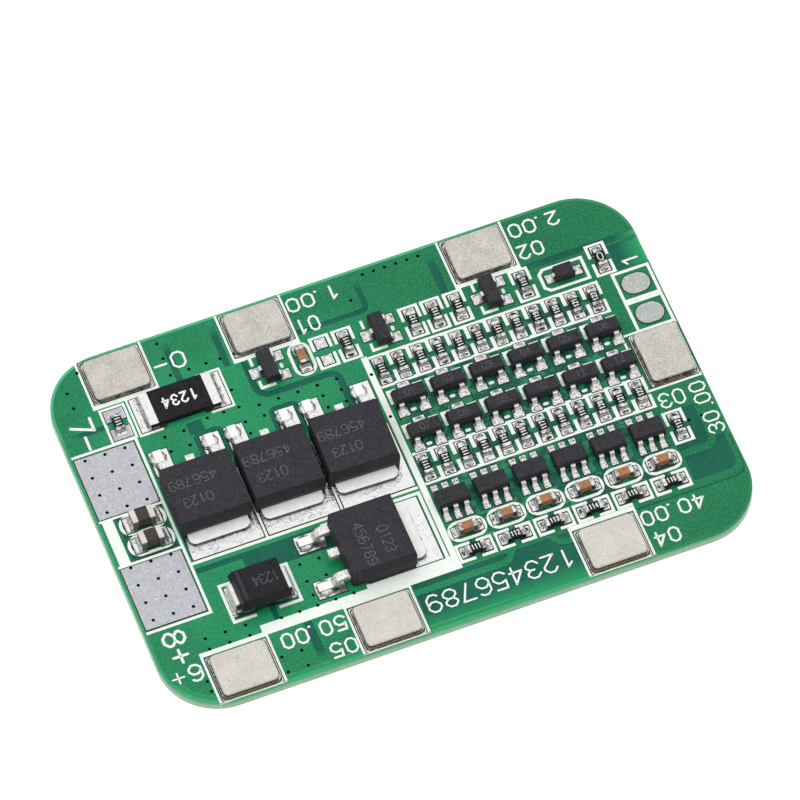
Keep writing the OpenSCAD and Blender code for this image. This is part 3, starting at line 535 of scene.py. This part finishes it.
glaze = Finish("resistor_coat", tone(28, 27, 31), 0.55, gloss=0.12)
glaze.paint(glaze.mottled(tone(22, 21, 25), tone(36, 35, 40), 0.3))
glaze.grain(0.2, 0.003)
ceramic("tan_ceramic", tone(134, 86, 56), tone(164, 118, 84))
ceramic("brown_ceramic", tone(42, 36, 34), tone(62, 53, 48))
ink = Finish("white_ink", tone(240, 246, 240), 0.6, gloss=0.3)
ink.paint(ink.mottled(tone(198, 210, 202), tone(226, 231, 226), 0.22, 3.0, 0.28, 0.4))
ink.grain(0.2, 0.004)
for node, thing in frame["nodes"].items():
    thing.data.materials.clear()
    thing.data.materials.append(finishes[slot_of[node]])
print("finishes:", *sorted(finishes))

# %% [markdown]
# ## Working by operators
# Blender's operators act on whatever is selected. The packed nodes arrive selected, so each
# step first clears the selection, then picks the one object that it works on. Faces are picked
# in code by their normal, and corners by their place.


# %% Selecting, and applying what was done
def only(thing):
    """Deselects everything, then selects this object and makes it active."""
    bpy.ops.object.select_all(action="DESELECT")
    thing.select_set(True)
    bpy.context.view_layer.objects.active = thing
    return thing


def edit(thing, select="SELECT"):
    """Opens edit mode on this object with all of it selected, or none of it."""
    only(thing)
    bpy.ops.object.mode_set(mode="EDIT")
    bpy.ops.mesh.select_all(action=select)


def done():
    bpy.ops.object.mode_set(mode="OBJECT")


def pick(piece, kind, test):
    """Opens edit mode with faces picked by their normal, or corners by their place."""
    edit(piece, "DESELECT")
    bpy.ops.mesh.select_mode(type=kind)
    done()
    faces = [(face, face.normal) for face in piece.data.polygons]
    corners = [(corner, corner.co) for corner in piece.data.vertices]
    for part, vector in faces if kind == "FACE" else corners:
        part.select = test(vector)
    bpy.ops.object.mode_set(mode="EDIT")


def settle(thing):
    """Moves an object's place, turn and size into its mesh, so that it sits at the origin."""
    only(thing)
    bpy.ops.object.transform_apply(location=True, rotation=True, scale=True)
    return thing


def apply_all(thing):
    only(thing)
    for modifier in [m.name for m in thing.modifiers]:
        bpy.ops.object.modifier_apply(modifier=modifier)
    return thing


def new_object(name, data):
    """A new object in the scene that carries this mesh, curve, lamp or camera."""
    thing = bpy.data.objects.new(name, data)
    bpy.context.scene.collection.objects.link(thing)
    return thing


print("selected on arrival:", len(bpy.context.selected_objects), "objects")

# %% [markdown]
# ## Soft edges
# No moulded or plated edge is a knife edge: it carries a small radius that shows as a thin
# highlight. The packed solids are sharp, so each is copied, its triangles are merged back into
# whole faces, and a Bevel modifier rounds what is sharper than 30 degrees. Weighted normals
# then keep the flat faces flat. The copy stands in for the solid at the same place.


# %% Soft-edged copies
def dress(piece, slot, *nodes, look=None):
    """Gives a finished piece its material, that of its slot unless a look is named, and its body, and hides
    the nodes it stands in for.
    """
    piece.data.materials.clear()
    piece.data.materials.append(finishes[look or slot])
    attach(piece, "root")
    if nodes:
        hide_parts(*nodes)
    return piece


def soften(node, radius, look=None):
    piece = new_object(node + "_soft", frame["nodes"][node].data.copy())
    edit(piece)
    bpy.ops.mesh.remove_doubles(threshold=0.0002 * MM)
    bpy.ops.mesh.dissolve_limited(angle_limit=math.radians(0.5))
    done()
    bpy.ops.object.shade_smooth_by_angle(angle=math.radians(35))
    bevel = piece.modifiers.new("round", "BEVEL")
    bevel.width = radius * MM
    bevel.segments = 2
    bevel.limit_method = "ANGLE"
    bevel.angle_limit = math.radians(30)
    piece.modifiers.new("flats", "WEIGHTED_NORMAL").keep_sharp = True
    return dress(apply_all(piece), slot_of[node], node, look=look)


print("one tab before it is merged:", len(frame["nodes"]["tab_b1"].data.polygons), "triangles")

# %% Radii, and the rows of parts that share one
SWITCHES, MONITORS = range(1, 5), range(1, 7)
RESISTOR_ROWS = ("upper", "lower", "front", "rear", "side")
TRANSISTOR_ROWS = ("upper", "lower", "rear")
special_look = {"clamp_diode_body": "glossy_moulding", "load_capacitor_caps": "load_cap_metal",
                "ceramic_capacitor_caps": "chip_cap",
                **{f"power_switch_{i}_leadframe": "switch_metal" for i in SWITCHES},
                **{f"{row}_resistor_caps": "chip_cap" for row in RESISTOR_ROWS}}
edge_radius = {
    # in mm
    **{f"tab_b{end}": 0.09 for end in ("_minus", 1, 2, 3, 4, 5, "_plus")},
    "shunt_body": 0.03, "shunt_caps": 0.06, "clamp_diode_body": 0.12, "clamp_diode_leads": 0.04,
    "signal_diode_body": 0.03, "ceramic_capacitor_bodies": 0.03, "ceramic_capacitor_caps": 0.06,
    "load_capacitor_bodies": 0.05, "load_capacitor_caps": 0.09,
    **{f"power_switch_{i}_body": 0.06 for i in SWITCHES},
    **{f"power_switch_{i}_leadframe": 0.05 for i in SWITCHES},
    **{f"monitor_{i}_body": 0.03 for i in MONITORS},
    **{f"{row}_transistor_bodies": 0.03 for row in TRANSISTOR_ROWS},
    **{f"{row}_resistor_caps": 0.04 for row in RESISTOR_ROWS},
}
for node, radius in edge_radius.items():
    soften(node, radius, special_look.get(node))
print("softened", len(edge_radius), "nodes")

# %% [markdown]
# ## Shapes that repeat
# A drop of solder is modelled once and copied to every place, and the copies are joined, so
# that a row of joints is one piece. Each copy has its own mesh. A place is written as a matrix:
# where it stands, how far it is turned, and how it is stretched.


# %% Blocks, smoothing and copies
def block(name, size, centre=(0, 0, 0)):
    bpy.ops.object.select_all(action="DESELECT")
    bpy.ops.mesh.primitive_cube_add(size=1.0, location=centre)
    thing = bpy.context.active_object
    thing.name = name
    thing.scale = size
    return settle(thing)


def chamfered(thing, width, segments):
    """The same block with all its edges bevelled."""
    edit(thing)
    bpy.ops.mesh.bevel(offset=width, segments=segments, affect="EDGES")
    done()
    return thing


def smooth_once(thing):
    rounding = thing.modifiers.new("round", "SUBSURF")
    rounding.levels = rounding.render_levels = 1
    apply_all(thing)
    bpy.ops.object.shade_smooth()
    return thing


def joined(name, pieces):
    """Joins pieces into the first of them."""
    bpy.ops.object.select_all(action="DESELECT")
    for piece in pieces:
        piece.select_set(True)
    bpy.context.view_layer.objects.active = pieces[0]
    if len(pieces) > 1:
        bpy.ops.object.join()
    pieces[0].name = name
    return settle(pieces[0])


def copies(name, shape, places):
    """Copies of a shape, each with its own mesh, joined into one piece. The shape goes."""
    twins = []
    for place in places:
        twins.append(new_object(name, shape.data.copy()))
        twins[-1].matrix_world = place
    bpy.data.objects.remove(shape)
    return joined(name, twins)


def turned(turn):
    return Matrix.Rotation(turn, 3, "Z")


def at(spot, turn=0.0, size=(1, 1, 1)):
    """A place: where it stands, how far it is turned about Z and how it is stretched."""
    return Matrix.Translation(spot) @ turned(turn).to_4x4() @ Matrix.Diagonal((*size, 1))


print("a quarter turn takes X to", [round(c) for c in turned(math.pi / 2) @ Vector((1, 0, 0))])

# %% [markdown]
# ## Where the toes are
# A lead's foot ends short of its pad, and there solder gathers. The toe of a foot is found by
# looking from the nearest body outwards along the foot.


# %% Toes of the small packages
def feet(leads, bodies, widest=1.0):
    """Toe, turn and width of each lead narrower than this, pointing away from the nearest body."""
    hearts = [middle(box) for node in bodies for box in solids(node)]
    for low, high in solids(leads):
        centre, size = middle((low, high)), high - low
        if min(size.x, size.y) > widest * MM:
            continue
        heart = min(hearts, key=lambda h: (h.xy - centre.xy).length)
        axis = 1 if size.y > size.x else 0
        outwards = centre[axis] > heart[axis]
        toe = Vector((*centre.xy, pad_top))
        toe[axis] = (high if outwards else low)[axis]
        turn = (0.0 if outwards else math.pi) - (0.0 if axis else math.pi / 2)
        yield toe, turn, min(size.xy)


toe_rows = {
    # leads, bodies, width of the pad and length of the ramp in mm
    "monitor": ("monitor_leads", [f"monitor_{i}_body" for i in MONITORS], 0.56, 0.34),
    **{row: (row + "_transistor_leads", [row + "_transistor_bodies"], 0.88, 0.4) for row in TRANSISTOR_ROWS},
    "signal": ("signal_diode_leads", ["signal_diode_body"], 0.74, 0.32),
}
toes = {name: list(feet(leads, bodies)) for name, (leads, bodies, _, _) in toe_rows.items()}
print("toes:", {name: len(found) for name, found in toes.items()})

# %% [markdown]
# ## Solder at the toes
# When the paste melts it creeps from the toe to the edge of the pad and freezes as a small
# bright ramp that widens on the way down. One ramp is made from a cube: its far end is scaled
# wide and pressed flat, and the edges are rounded. It is then copied to every foot.


# %% One ramp, copied to every toe
def solder_ramp(foot_w, pad_w, length, height):
    """A ramp whose high end is at the origin; it runs down along +Y."""
    ramp = block("ramp", (foot_w, length, height), (0, length / 2, height / 2))
    pick(ramp, "FACE", lambda normal: normal.y > 0.9)
    bpy.ops.transform.resize(value=(pad_w / foot_w, 1.0, 1.0))
    done()
    inset = 0.12 * min(foot_w, length)
    pick(ramp, "FACE", lambda normal: normal.z > 0.9)
    bpy.ops.mesh.inset(thickness=inset)
    bpy.ops.transform.translate(value=(0, 0, 0.12 * height))
    done()
    # The far end sags to a tenth of its height, the near side of the inset a little
    near_sag = 1.0 - 0.9 * inset / (0.8 * length)
    for sag, test in ((0.1, lambda c: c.z > 0.5 * height and c.y > 0.5 * length),
                      (near_sag, lambda c: c.z > 1.05 * height and c.y < 0.5 * length)):
        pick(ramp, "VERT", test)
        bpy.ops.transform.resize(value=(1.0, 1.0, sag), center_override=(0, 0, 0))
        done()
    return smooth_once(ramp)


for name, (_, _, pad_w, length) in toe_rows.items():
    foot_w = 1.1 * toes[name][0][2]
    ramp = solder_ramp(foot_w, pad_w * MM, length * MM, 0.13 * MM)
    dress(copies(name + "_toe_solder", ramp, [at(toe, turn) for toe, turn, _ in toes[name]]), "solder")
    print(name, "ramps", round(foot_w / MM, 2), "mm wide at the toe and", pad_w, "mm at the end")

# %% [markdown]
# ## Solder on the pads
# Solder on a small pad stands up as a low pillow, held in by the edge of the pad. One pillow is
# made from a cube whose top is inset and whose rim is let down, and smoothed. It is stretched
# to each pad.


# %% One pillow, stretched to every small pad
def pillow():
    """A dome of solder, one wide, one long and one high, flat underneath."""
    dome = block("pillow", (1.1, 1.1, 1.0), (0, 0, 0.5))
    pick(dome, "FACE", lambda normal: normal.z > 0.9)
    bpy.ops.mesh.inset(thickness=0.24)
    done()
    pick(dome, "VERT", lambda c: c.z > 0.9 and abs(c.x) > 0.5)
    bpy.ops.transform.translate(value=(0, 0, -0.5))
    done()
    smooth_once(dome)
    pick(dome, "VERT", lambda c: c.z < 0.2)
    bpy.ops.transform.resize(value=(1.0, 1.0, 0.0), center_override=(0, 0, 0))
    done()
    return dome


small_pads = [box for box in pads if max(box[1] - box[0]) < 1.3 * MM]
cap_nodes = [node for node in frame["nodes"] if node.endswith(("resistor_caps", "ceramic_capacitor_caps"))]
chip_ends = [middle(box) for node in cap_nodes for box in solids(node)]
beside_chips, beside_leads = [], []
for box in small_pads:
    centre, size = middle(box).xy, (box[1] - box[0]).xy
    near = min((end.xy - centre).length for end in chip_ends)
    row = beside_chips if near < 0.6 * MM else beside_leads
    row.append(at(Vector((*centre, pad_top)), 0.0, (*size, 0.07 * MM)))
dress(copies("chip_pad_solder", pillow(), beside_chips), "solder", look="chip_solder")
dress(copies("lead_pad_solder", pillow(), beside_leads), "solder")
print(len(beside_chips), "pads by chips,", len(beside_leads), "by leads")

# %% [markdown]
# Round the foot of a power switch the pillow stands higher, against the sides of the lead.

# %% Round the switch feet
foot_size, foot_back = Vector((1.62, 1.5, 0.42)) * MM, Vector((0, -0.62, 0)) * MM
foot_places = [at(toe + turned(turn) @ foot_back, turn, foot_size) for i in SWITCHES
               for toe, turn, _ in feet(f"power_switch_{i}_leadframe", [f"power_switch_{i}_body"], 1.2)]
dress(copies("switch_foot_solder", pillow(), foot_places), "solder")
print(len(foot_places), "switch feet")

# %% [markdown]
# ## Round the tabs
# A tab is pressed on hot. Flux runs out from under it and dries as a thin dark film, and beads
# of solder stay at its corners, more of them at the rear and the side than in front. The
# beads are balls pressed flat. Their sizes vary by a seeded random number, so that every run
# gives the same board.


# %% Places of the flux films and of the beads
def in_front_row(box):
    return box[1].y < -0.5 * half_w


films, beads = [], []
random.seed(6)
for low, high in tabs.values():
    centre = middle((low, high))
    pad = next(p for p in pads if p[0].x < centre.x < p[1].x and p[0].y < centre.y < p[1].y)
    size = pad[1] - pad[0] - Vector((0.1, 0.1, 0)) * MM
    films.append(at(Vector((*middle(pad).xy, pad_top)), 0.0, (size.x, size.y, 0.04 * MM)))
    count, smallest, largest = (1, 0.05, 0.1) if in_front_row((low, high)) else (3, 0.07, 0.15)
    for x, y in [(x, y) for x in (low.x, high.x) for y in (low.y, high.y) for _ in range(count)]:
        size = random.uniform(smallest, largest) * MM
        slip = [random.uniform(-0.22, 0.1) * MM for _ in range(2)]
        spot = Vector((x + math.copysign(1, x - centre.x) * slip[0],
                       y + math.copysign(1, y - centre.y) * slip[1], pad_top))
        beads.append(at(spot, 0.0, (size, size, 0.8 * size)))
print(len(films), "films,", len(beads), "beads")

# %% [markdown]
# The clamp diode's leads carry a larger drop at each front corner. A ball is pressed flat by
# cutting away its lower half and closing the cut.

# %% Films, balls and drops
film = chamfered(block("film", (1, 1, 1)), 0.06, 2)
dress(copies("tab_flux", film, films), "solder", look="flux_residue")
low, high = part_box("clamp_diode_leads")
for x in (low.x - 0.02 * MM, high.x + 0.02 * MM):
    beads.append(at(Vector((x, low.y - 0.1 * MM, pad_top)), 0.0, (0.26 * MM, 0.24 * MM, 0.3 * MM)))
bpy.ops.object.select_all(action="DESELECT")
bpy.ops.mesh.primitive_ico_sphere_add(subdivisions=2, radius=1.0)
ball = bpy.context.active_object
edit(ball)
bpy.ops.mesh.bisect(plane_co=(0, 0, 0), plane_no=(0, 0, 1), use_fill=True, clear_inner=True)
done()
bpy.ops.object.shade_smooth_by_angle(angle=math.radians(50))
dress(copies("solder_beads", ball, beads), "solder")
print(len(beads), "beads and drops in one piece")

# %% [markdown]
# ## Lettering
# Board lettering is drawn by a machine as strokes of one width with round ends, so an outline
# font would look wrong. Each sign here is a few straight strokes on a grid four wide and six
# high. A stroke becomes a curve with a round bevel, its ends tapered to a dome. The curve is
# turned to a mesh and pressed flat, as ink is. Only plain numbers and polarity signs are used.

# %% Stroke signs
SIGNS = {
    "0": [[(0, 1.2), (1.2, 0), (2.8, 0), (4, 1.2), (4, 4.8), (2.8, 6), (1.2, 6), (0, 4.8), (0, 1.2)]],
    "1": [[(0.7, 4.7), (2.2, 6)], [(2.2, 6), (2.2, 0)]],
    "2": [[(0, 4.8), (1.2, 6), (2.8, 6), (4, 4.8), (4, 3.8), (0, 0)], [(0, 0), (4, 0)]],
    "3": [[(0, 4.8), (1.2, 6), (2.8, 6), (4, 4.9), (4, 4.1), (2.9, 3.1), (1.6, 3.1)],
          [(2.9, 3.1), (4, 2.1), (4, 1.2), (2.8, 0), (1.2, 0), (0, 1.2)]],
    "4": [[(3, 0), (3, 6)], [(3, 6), (0, 1.8)], [(0, 1.8), (4, 1.8)]],
    "5": [[(3.8, 6), (0.4, 6)], [(0.4, 6), (0.2, 3.3)],
          [(0.2, 3.3), (1.4, 3.8), (2.8, 3.8), (4, 2.6), (4, 1.2), (2.8, 0), (1.2, 0), (0, 1)]],
    "6": [[(3.6, 5.4), (2.8, 6), (1.3, 6), (0, 4.7), (0, 1.2), (1.2, 0), (2.8, 0), (4, 1.2), (4, 2.3),
           (2.8, 3.5), (1.2, 3.5), (0, 2.3)]],
    "7": [[(0, 6), (4, 6)], [(4, 6), (1.4, 0)]],
    "8": [[(1.2, 3.2), (0.1, 4.2), (0.1, 4.9), (1.2, 6), (2.8, 6), (3.9, 4.9), (3.9, 4.2), (2.8, 3.2),
           (1.2, 3.2), (0, 2.1), (0, 1.1), (1.2, 0), (2.8, 0), (4, 1.1), (4, 2.1), (2.8, 3.2)]],
    "9": [[(0.4, 0.6), (1.2, 0), (2.7, 0), (4, 1.3), (4, 4.8), (2.8, 6), (1.2, 6), (0, 4.8), (0, 3.7),
           (1.2, 2.5), (2.8, 2.5), (4, 3.7)]],
    "+": [[(0.3, 3), (3.7, 3)], [(2, 1.3), (2, 4.7)]],
    "-": [[(0.3, 3), (3.7, 3)]],
    ".": [[(1.9, 0.2), (2.1, 0.2)]],
}
GRID_W, GRID_H = 4, 6
GAP = 0.14  # between two signs, as a share of the pitch
print(len(SIGNS), "signs,", sum(len(strokes) for strokes in SIGNS.values()), "strokes")


# %% Strokes
def stroke(curve, points, radius):
    """One stroke: a poly spline whose ends close in a dome."""
    first, last = points[0], points[-1]
    start, end = (first - points[1]).normalized(), (last - points[-2]).normalized()
    dome = [(1.0, 0.05), (0.8, 0.6), (0.4, 0.92)]
    path = [(first + start * radius * out, size) for out, size in dome]
    path += [(p, 1.0) for p in points]
    path += [(last + end * radius * out, size) for out, size in reversed(dome)]
    spline = curve.splines.new("POLY")
    spline.points.add(len(path) - 1)
    for spot, (p, size) in zip(spline.points, path):
        spot.co = (*p, 0.0, 1.0)
        spot.radius = size


print("longest stroke:", max(len(points) for strokes in SIGNS.values() for points in strokes), "points")


# %% Words
def word_strokes(curve, text, centre, turn, width, height, line):
    # A dot takes less room than a number
    steps = [0.62 if sign == "." else 1.0 for sign in text]
    pitch = width / (sum(steps) - GAP)
    pen = -width / 2
    for sign, step in zip(text, steps):
        for points in SIGNS[sign]:
            flats = [Vector((pen + line / 2 + x / GRID_W * ((1.0 - GAP) * pitch - line),
                             (y / GRID_H - 0.5) * (height - line), 0)) for x, y in points]
            stroke(curve, [(turned(turn) @ flat + centre).xy for flat in flats], line / 2)
        pen += step * pitch


def lettering(name, words, thickness):
    """Words are (text, middle, turn, width, height, stroke width), in metres and radians."""
    layers = []
    for line in sorted({word[-1] for word in words}):
        curve = bpy.data.curves.new(name, "CURVE")
        curve.dimensions = "3D"
        curve.bevel_resolution = 1
        curve.bevel_depth = line / 2
        for word in words:
            if word[-1] == line:
                word_strokes(curve, *word)
        layer = only(new_object(name, curve))
        bpy.ops.object.convert(target="MESH")
        layer.scale.z = thickness / line
        layer.location.z = words[0][1].z + thickness / 2
        layers.append(settle(layer))
    piece = joined(name, layers)
    bpy.ops.object.shade_smooth()
    return piece


def placed(text, owner, shift, turn, width, height, line):
    """A word shifted by some millimetres from the middle of the top of the box it belongs to."""
    spot = Vector((*middle(owner).xy, owner[1].z)) + Vector((*shift, 0)) * MM
    return text, spot, turn, width * MM, height * MM, line * MM


print("a word of four signs spans", 4 - GAP, "pitches")

# %% [markdown]
# ## Numbers beside the tabs
# Each tab has its number next to it and a longer figure towards the edge. They are placed from
# the middle of the tab that they belong to, so they follow it. All read from the rear, apart
# from the ones that are turned with the side edges.

# %% Legend places
HALF_TURN, QUARTER = math.pi, math.pi / 2
load_plus, load_minus = sorted((box for box in pads if (box[1] - box[0]).y > 6 * MM > (box[1] - box[0]).x),
                               key=lambda box: box[0].y)
owners = {**tabs, "load_plus": load_plus, "load_minus": load_minus}
legends = [
    # text, what it belongs to, shift along X and Y in mm, quarter turns, width, height, stroke
    ("0", "tab_b_minus", 5.4, -0.33, 2, 1.3, 1.7, 0.24),
    ("-", "tab_b_minus", 3.8, -0.37, 2, 1.4, 1.7, 0.24),
    ("01", "tab_b1", 4.17, -1.15, 2, 2.1, 1.55, 0.22),
    ("1.00", "tab_b1", 5.45, 1.12, 2, 4.7, 1.45, 0.22),
    ("02", "tab_b2", 4.38, -1.12, 2, 2.3, 1.5, 0.22),
    ("2.00", "tab_b2", 5.55, 1.15, 2, 4.6, 1.45, 0.22),
    ("03", "tab_b3", -1.0, -4.2, 2, 2.3, 1.55, 0.2),
    ("30.00", "tab_b3", 1.38, -6.05, 1, 5.3, 1.5, 0.2),
    ("1", "tab_b3", 0.92, 9.77, 1, 1.2, 1.5, 0.22),
    ("04", "tab_b4", 4.5, -1.02, 2, 2.3, 1.5, 0.22),
    ("40.00", "tab_b4", 5.9, 1.18, 2, 5.7, 1.5, 0.22),
    ("05", "tab_b5", -4.2, -1.02, 2, 2.4, 1.5, 0.22),
    ("50.00", "tab_b5", -5.98, 1.25, 2, 5.75, 1.55, 0.24),
    ("6", "tab_b_plus", -3.78, 1.22, 2, 1.25, 1.7, 0.24),
    ("+", "tab_b_plus", -5.3, 1.22, 2, 1.35, 1.85, 0.18),
    ("7", "load_minus", -0.9, 5.93, -1, 1.5, 2.1, 0.3),
    ("-", "load_minus", -0.95, 4.28, -1, 1.7, 2.1, 0.28),
    ("8", "load_plus", -0.8, -4.6, -1, 1.5, 2.1, 0.3),
    ("+", "load_plus", -0.85, -6.34, -1, 1.7, 2.4, 0.28),
    ("123456789", "tab_b5", 10.05, 0.12, 2, 13.0, 1.8, 0.2),
]
words = []
for text, owner, dx, dy, quarters, *size in legends:
    low, high = owners[owner]
    on_board = low, Vector((*high.xy, board_top))
    words.append(placed(text, on_board, (dx, dy), quarters * QUARTER, *size))
dress(lettering("board_lettering", words, 0.02 * MM), "white_ink")
print("board legends:", len(legends))

# %% [markdown]
# The front tabs' frames are closed by a thin printed line near the edge of the board.

# %% Frame lines
lines = []
for low, high in filter(in_front_row, tabs.values()):
    size = Vector((high.x - low.x + 1.0 * MM, 0.12 * MM, 0.02 * MM))
    line = block("line", size, (middle((low, high)).x, low.y - 0.27 * MM, board_top + 0.01 * MM))
    lines.append(chamfered(line, 0.006 * MM, 1))
print("frame lines:", len(lines))
dress(joined("frame_lines", lines), "white_ink")

# %% [markdown]
# ## Marks on the parts
# Resistors carry a white printed value, the moulded packages a faint etched one. All of it is
# plain counting here. A mark lies on the top face of its part, along the part's long side.


# %% Printed values
def marks(name, node, slot, text_of, share_w, share_h, line, shift=(0, 0), turn=0.0, look=None):
    """One word on each top face; its size is a share of the face, its shift is in millimetres."""
    words = []
    for count, box in enumerate(solids(node), 1):
        size = (box[1] - box[0]).xy / MM
        own = turn + (0.0 if size.x >= size.y else QUARTER)
        words.append(placed(text_of(count), box, (turned(own) @ Vector((*shift, 0))).xy, own,
                            max(size) * share_w, min(size) * share_h, line))
    return dress(lettering(name, words, 0.008 * MM), slot, look=look)


for row in ("upper", "lower", "front", "side", "rear"):
    # The sixth resistor at the rear is a plain link
    link = 6 if row == "rear" else None
    marks(row + "_values", row + "_resistor_bodies", "white_ink",
          lambda n: "0" if n == link else str(110 + n), 0.52, 0.66, 0.09)
marks("shunt_value", "shunt_body", "white_ink", lambda n: "1234", 0.5, 0.36, 0.2, turn=HALF_TURN)
print("resistors with a value:", sum(len(solids(row + "_resistor_bodies")) for row in RESISTOR_ROWS))

# %% [markdown]
# The switch tops carry two faint lines, and the fourth switch lies turned. The transistors
# carry two figures each. The clamp diode has a band over its groove, on the side of its load
# pad.

# %% Etched marks
switch_lines = (("456789", (0.75, -0.85, 0), 4.2), ("0123", (0.9, 1.0, 0), 2.6))
for i in SWITCHES:
    turn = -QUARTER if i == 4 else HALF_TURN
    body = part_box(f"power_switch_{i}_body")
    words = [placed(text, body, (turned(turn) @ Vector(shift)).xy, turn, width, 0.95, 0.08)
             for text, shift, width in switch_lines]
    dress(lettering(f"switch_{i}_mark", words, 0.006 * MM), "black_moulding", look="etched_mark")
for row, first in (("upper", 0), ("lower", 6)):
    marks(row + "_marks", row + "_transistor_bodies", "black_moulding", lambda n: f"{first + n:02d}",
          0.3, 0.5, 0.05, look="etched_mark")
marks("clamp_mark", "clamp_diode_body", "black_moulding", lambda n: "1234",
      0.5, 0.28, 0.07, (-0.5, 0), HALF_TURN, look="etched_mark")

low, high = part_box("clamp_diode_body")
band = block("clamp_band", (0.3 * MM, high.y - low.y - 0.75 * MM, 0.02 * MM),
             (low.x + 0.62 * MM, middle((low, high)).y, high.z - 0.03 * MM))
dress(chamfered(band, 0.006 * MM, 2), "black_moulding", look="band_mark")
print("marks on", len(SWITCHES), "switches, band", round((high.y - low.y) / MM - 0.75, 2), "mm long")

# %% [markdown]
# ## Floor
# The board lies on a white table. The table is lit like everything else, but what the camera
# and mirror-like metal see of it is lifted to white, so the shadow stays and the ground does
# not go grey.

# %% Floor
bpy.ops.object.select_all(action="DESELECT")
bpy.ops.mesh.primitive_plane_add(size=4.0, location=(0, 0, board_low - 0.02 * MM))
floor = bpy.context.active_object
floor.name = "floor"
table = Finish("table", tone(250, 250, 250), 0.7, gloss=0.0)
rays = table.add("ShaderNodeLightPath").outputs
seen = table.sums("MAXIMUM", rays["Is Camera Ray"], rays["Is Glossy Ray"])
seen = table.sums("MAXIMUM", seen, rays["Is Transmission Ray"])
table.use("Emission Color", (1, 1, 1, 1))
table.use("Emission Strength", table.times(seen, 0.25))
floor.data.materials.append(finishes["table"])
print("floor", round((board_low - floor.location.z) / MM, 3), "mm below the board")

# %% [markdown]
# ## Sky
# The sky fills the shadows: plain for the light it sheds, white where the camera sees it. Metal
# mirrors a dome that is white overhead and dims towards the horizon, which draws the shape of
# each drop.

# %% Sky
world = bpy.data.worlds.new("studio")
bpy.context.scene.world = world
world.use_nodes = True
sky = Kit(world.node_tree)
rays = sky.add("ShaderNodeLightPath").outputs
direction = sky.add("ShaderNodeSeparateXYZ")
sky.feed(direction.inputs[0], sky.add("ShaderNodeTexCoord").outputs["Generated"])
dome = sky.spread(direction.outputs["Z"], 0.3, 0.72, 0.12, 1.0)
mirrored = sky.spread(rays["Is Glossy Ray"], 0.0, 1.0, 0.62, dome)
background = sky.tree.nodes["Background"].inputs
sky.feed(background["Color"], (1, 1, 1, 1))
sky.feed(background["Strength"], sky.spread(rays["Is Camera Ray"], 0.0, 1.0, mirrored, 1.0))
print("sky:", len(sky.tree.nodes), "nodes")

# %% [markdown]
# ## Lamp and camera
# One wide soft lamp above and behind gives form. It stays out of reflections, which the sky
# takes care of. The camera stands far off with a long lens, so the board keeps its proportions.

# %% Lamp and camera
lamp = new_object("key", bpy.data.lights.new("key", "AREA"))
lamp.data.shape = "SQUARE"
lamp.data.size = 0.9
lamp.data.energy = 4.2
lamp.location = (-0.1, 0.02, 0.6)
lamp.rotation_euler = (-lamp.location).to_track_quat("-Z", "Y").to_euler()
lamp.visible_glossy = False

camera = new_object("camera", bpy.data.cameras.new("camera"))
camera.data.sensor_width = 36
camera.data.lens = 337.1
camera.data.clip_start = 0.01
camera.location = Vector((-115.138, -295.155, 540.329)) * MM
camera.rotation_euler = [math.radians(a) for a in (30.779, 0.065, -21.419)]
bpy.context.scene.camera = camera
bpy.context.scene.view_settings.view_transform = "Standard"
print("camera", round(camera.location.length / MM), "mm away, lamp", round(lamp.location.length / MM), "mm")
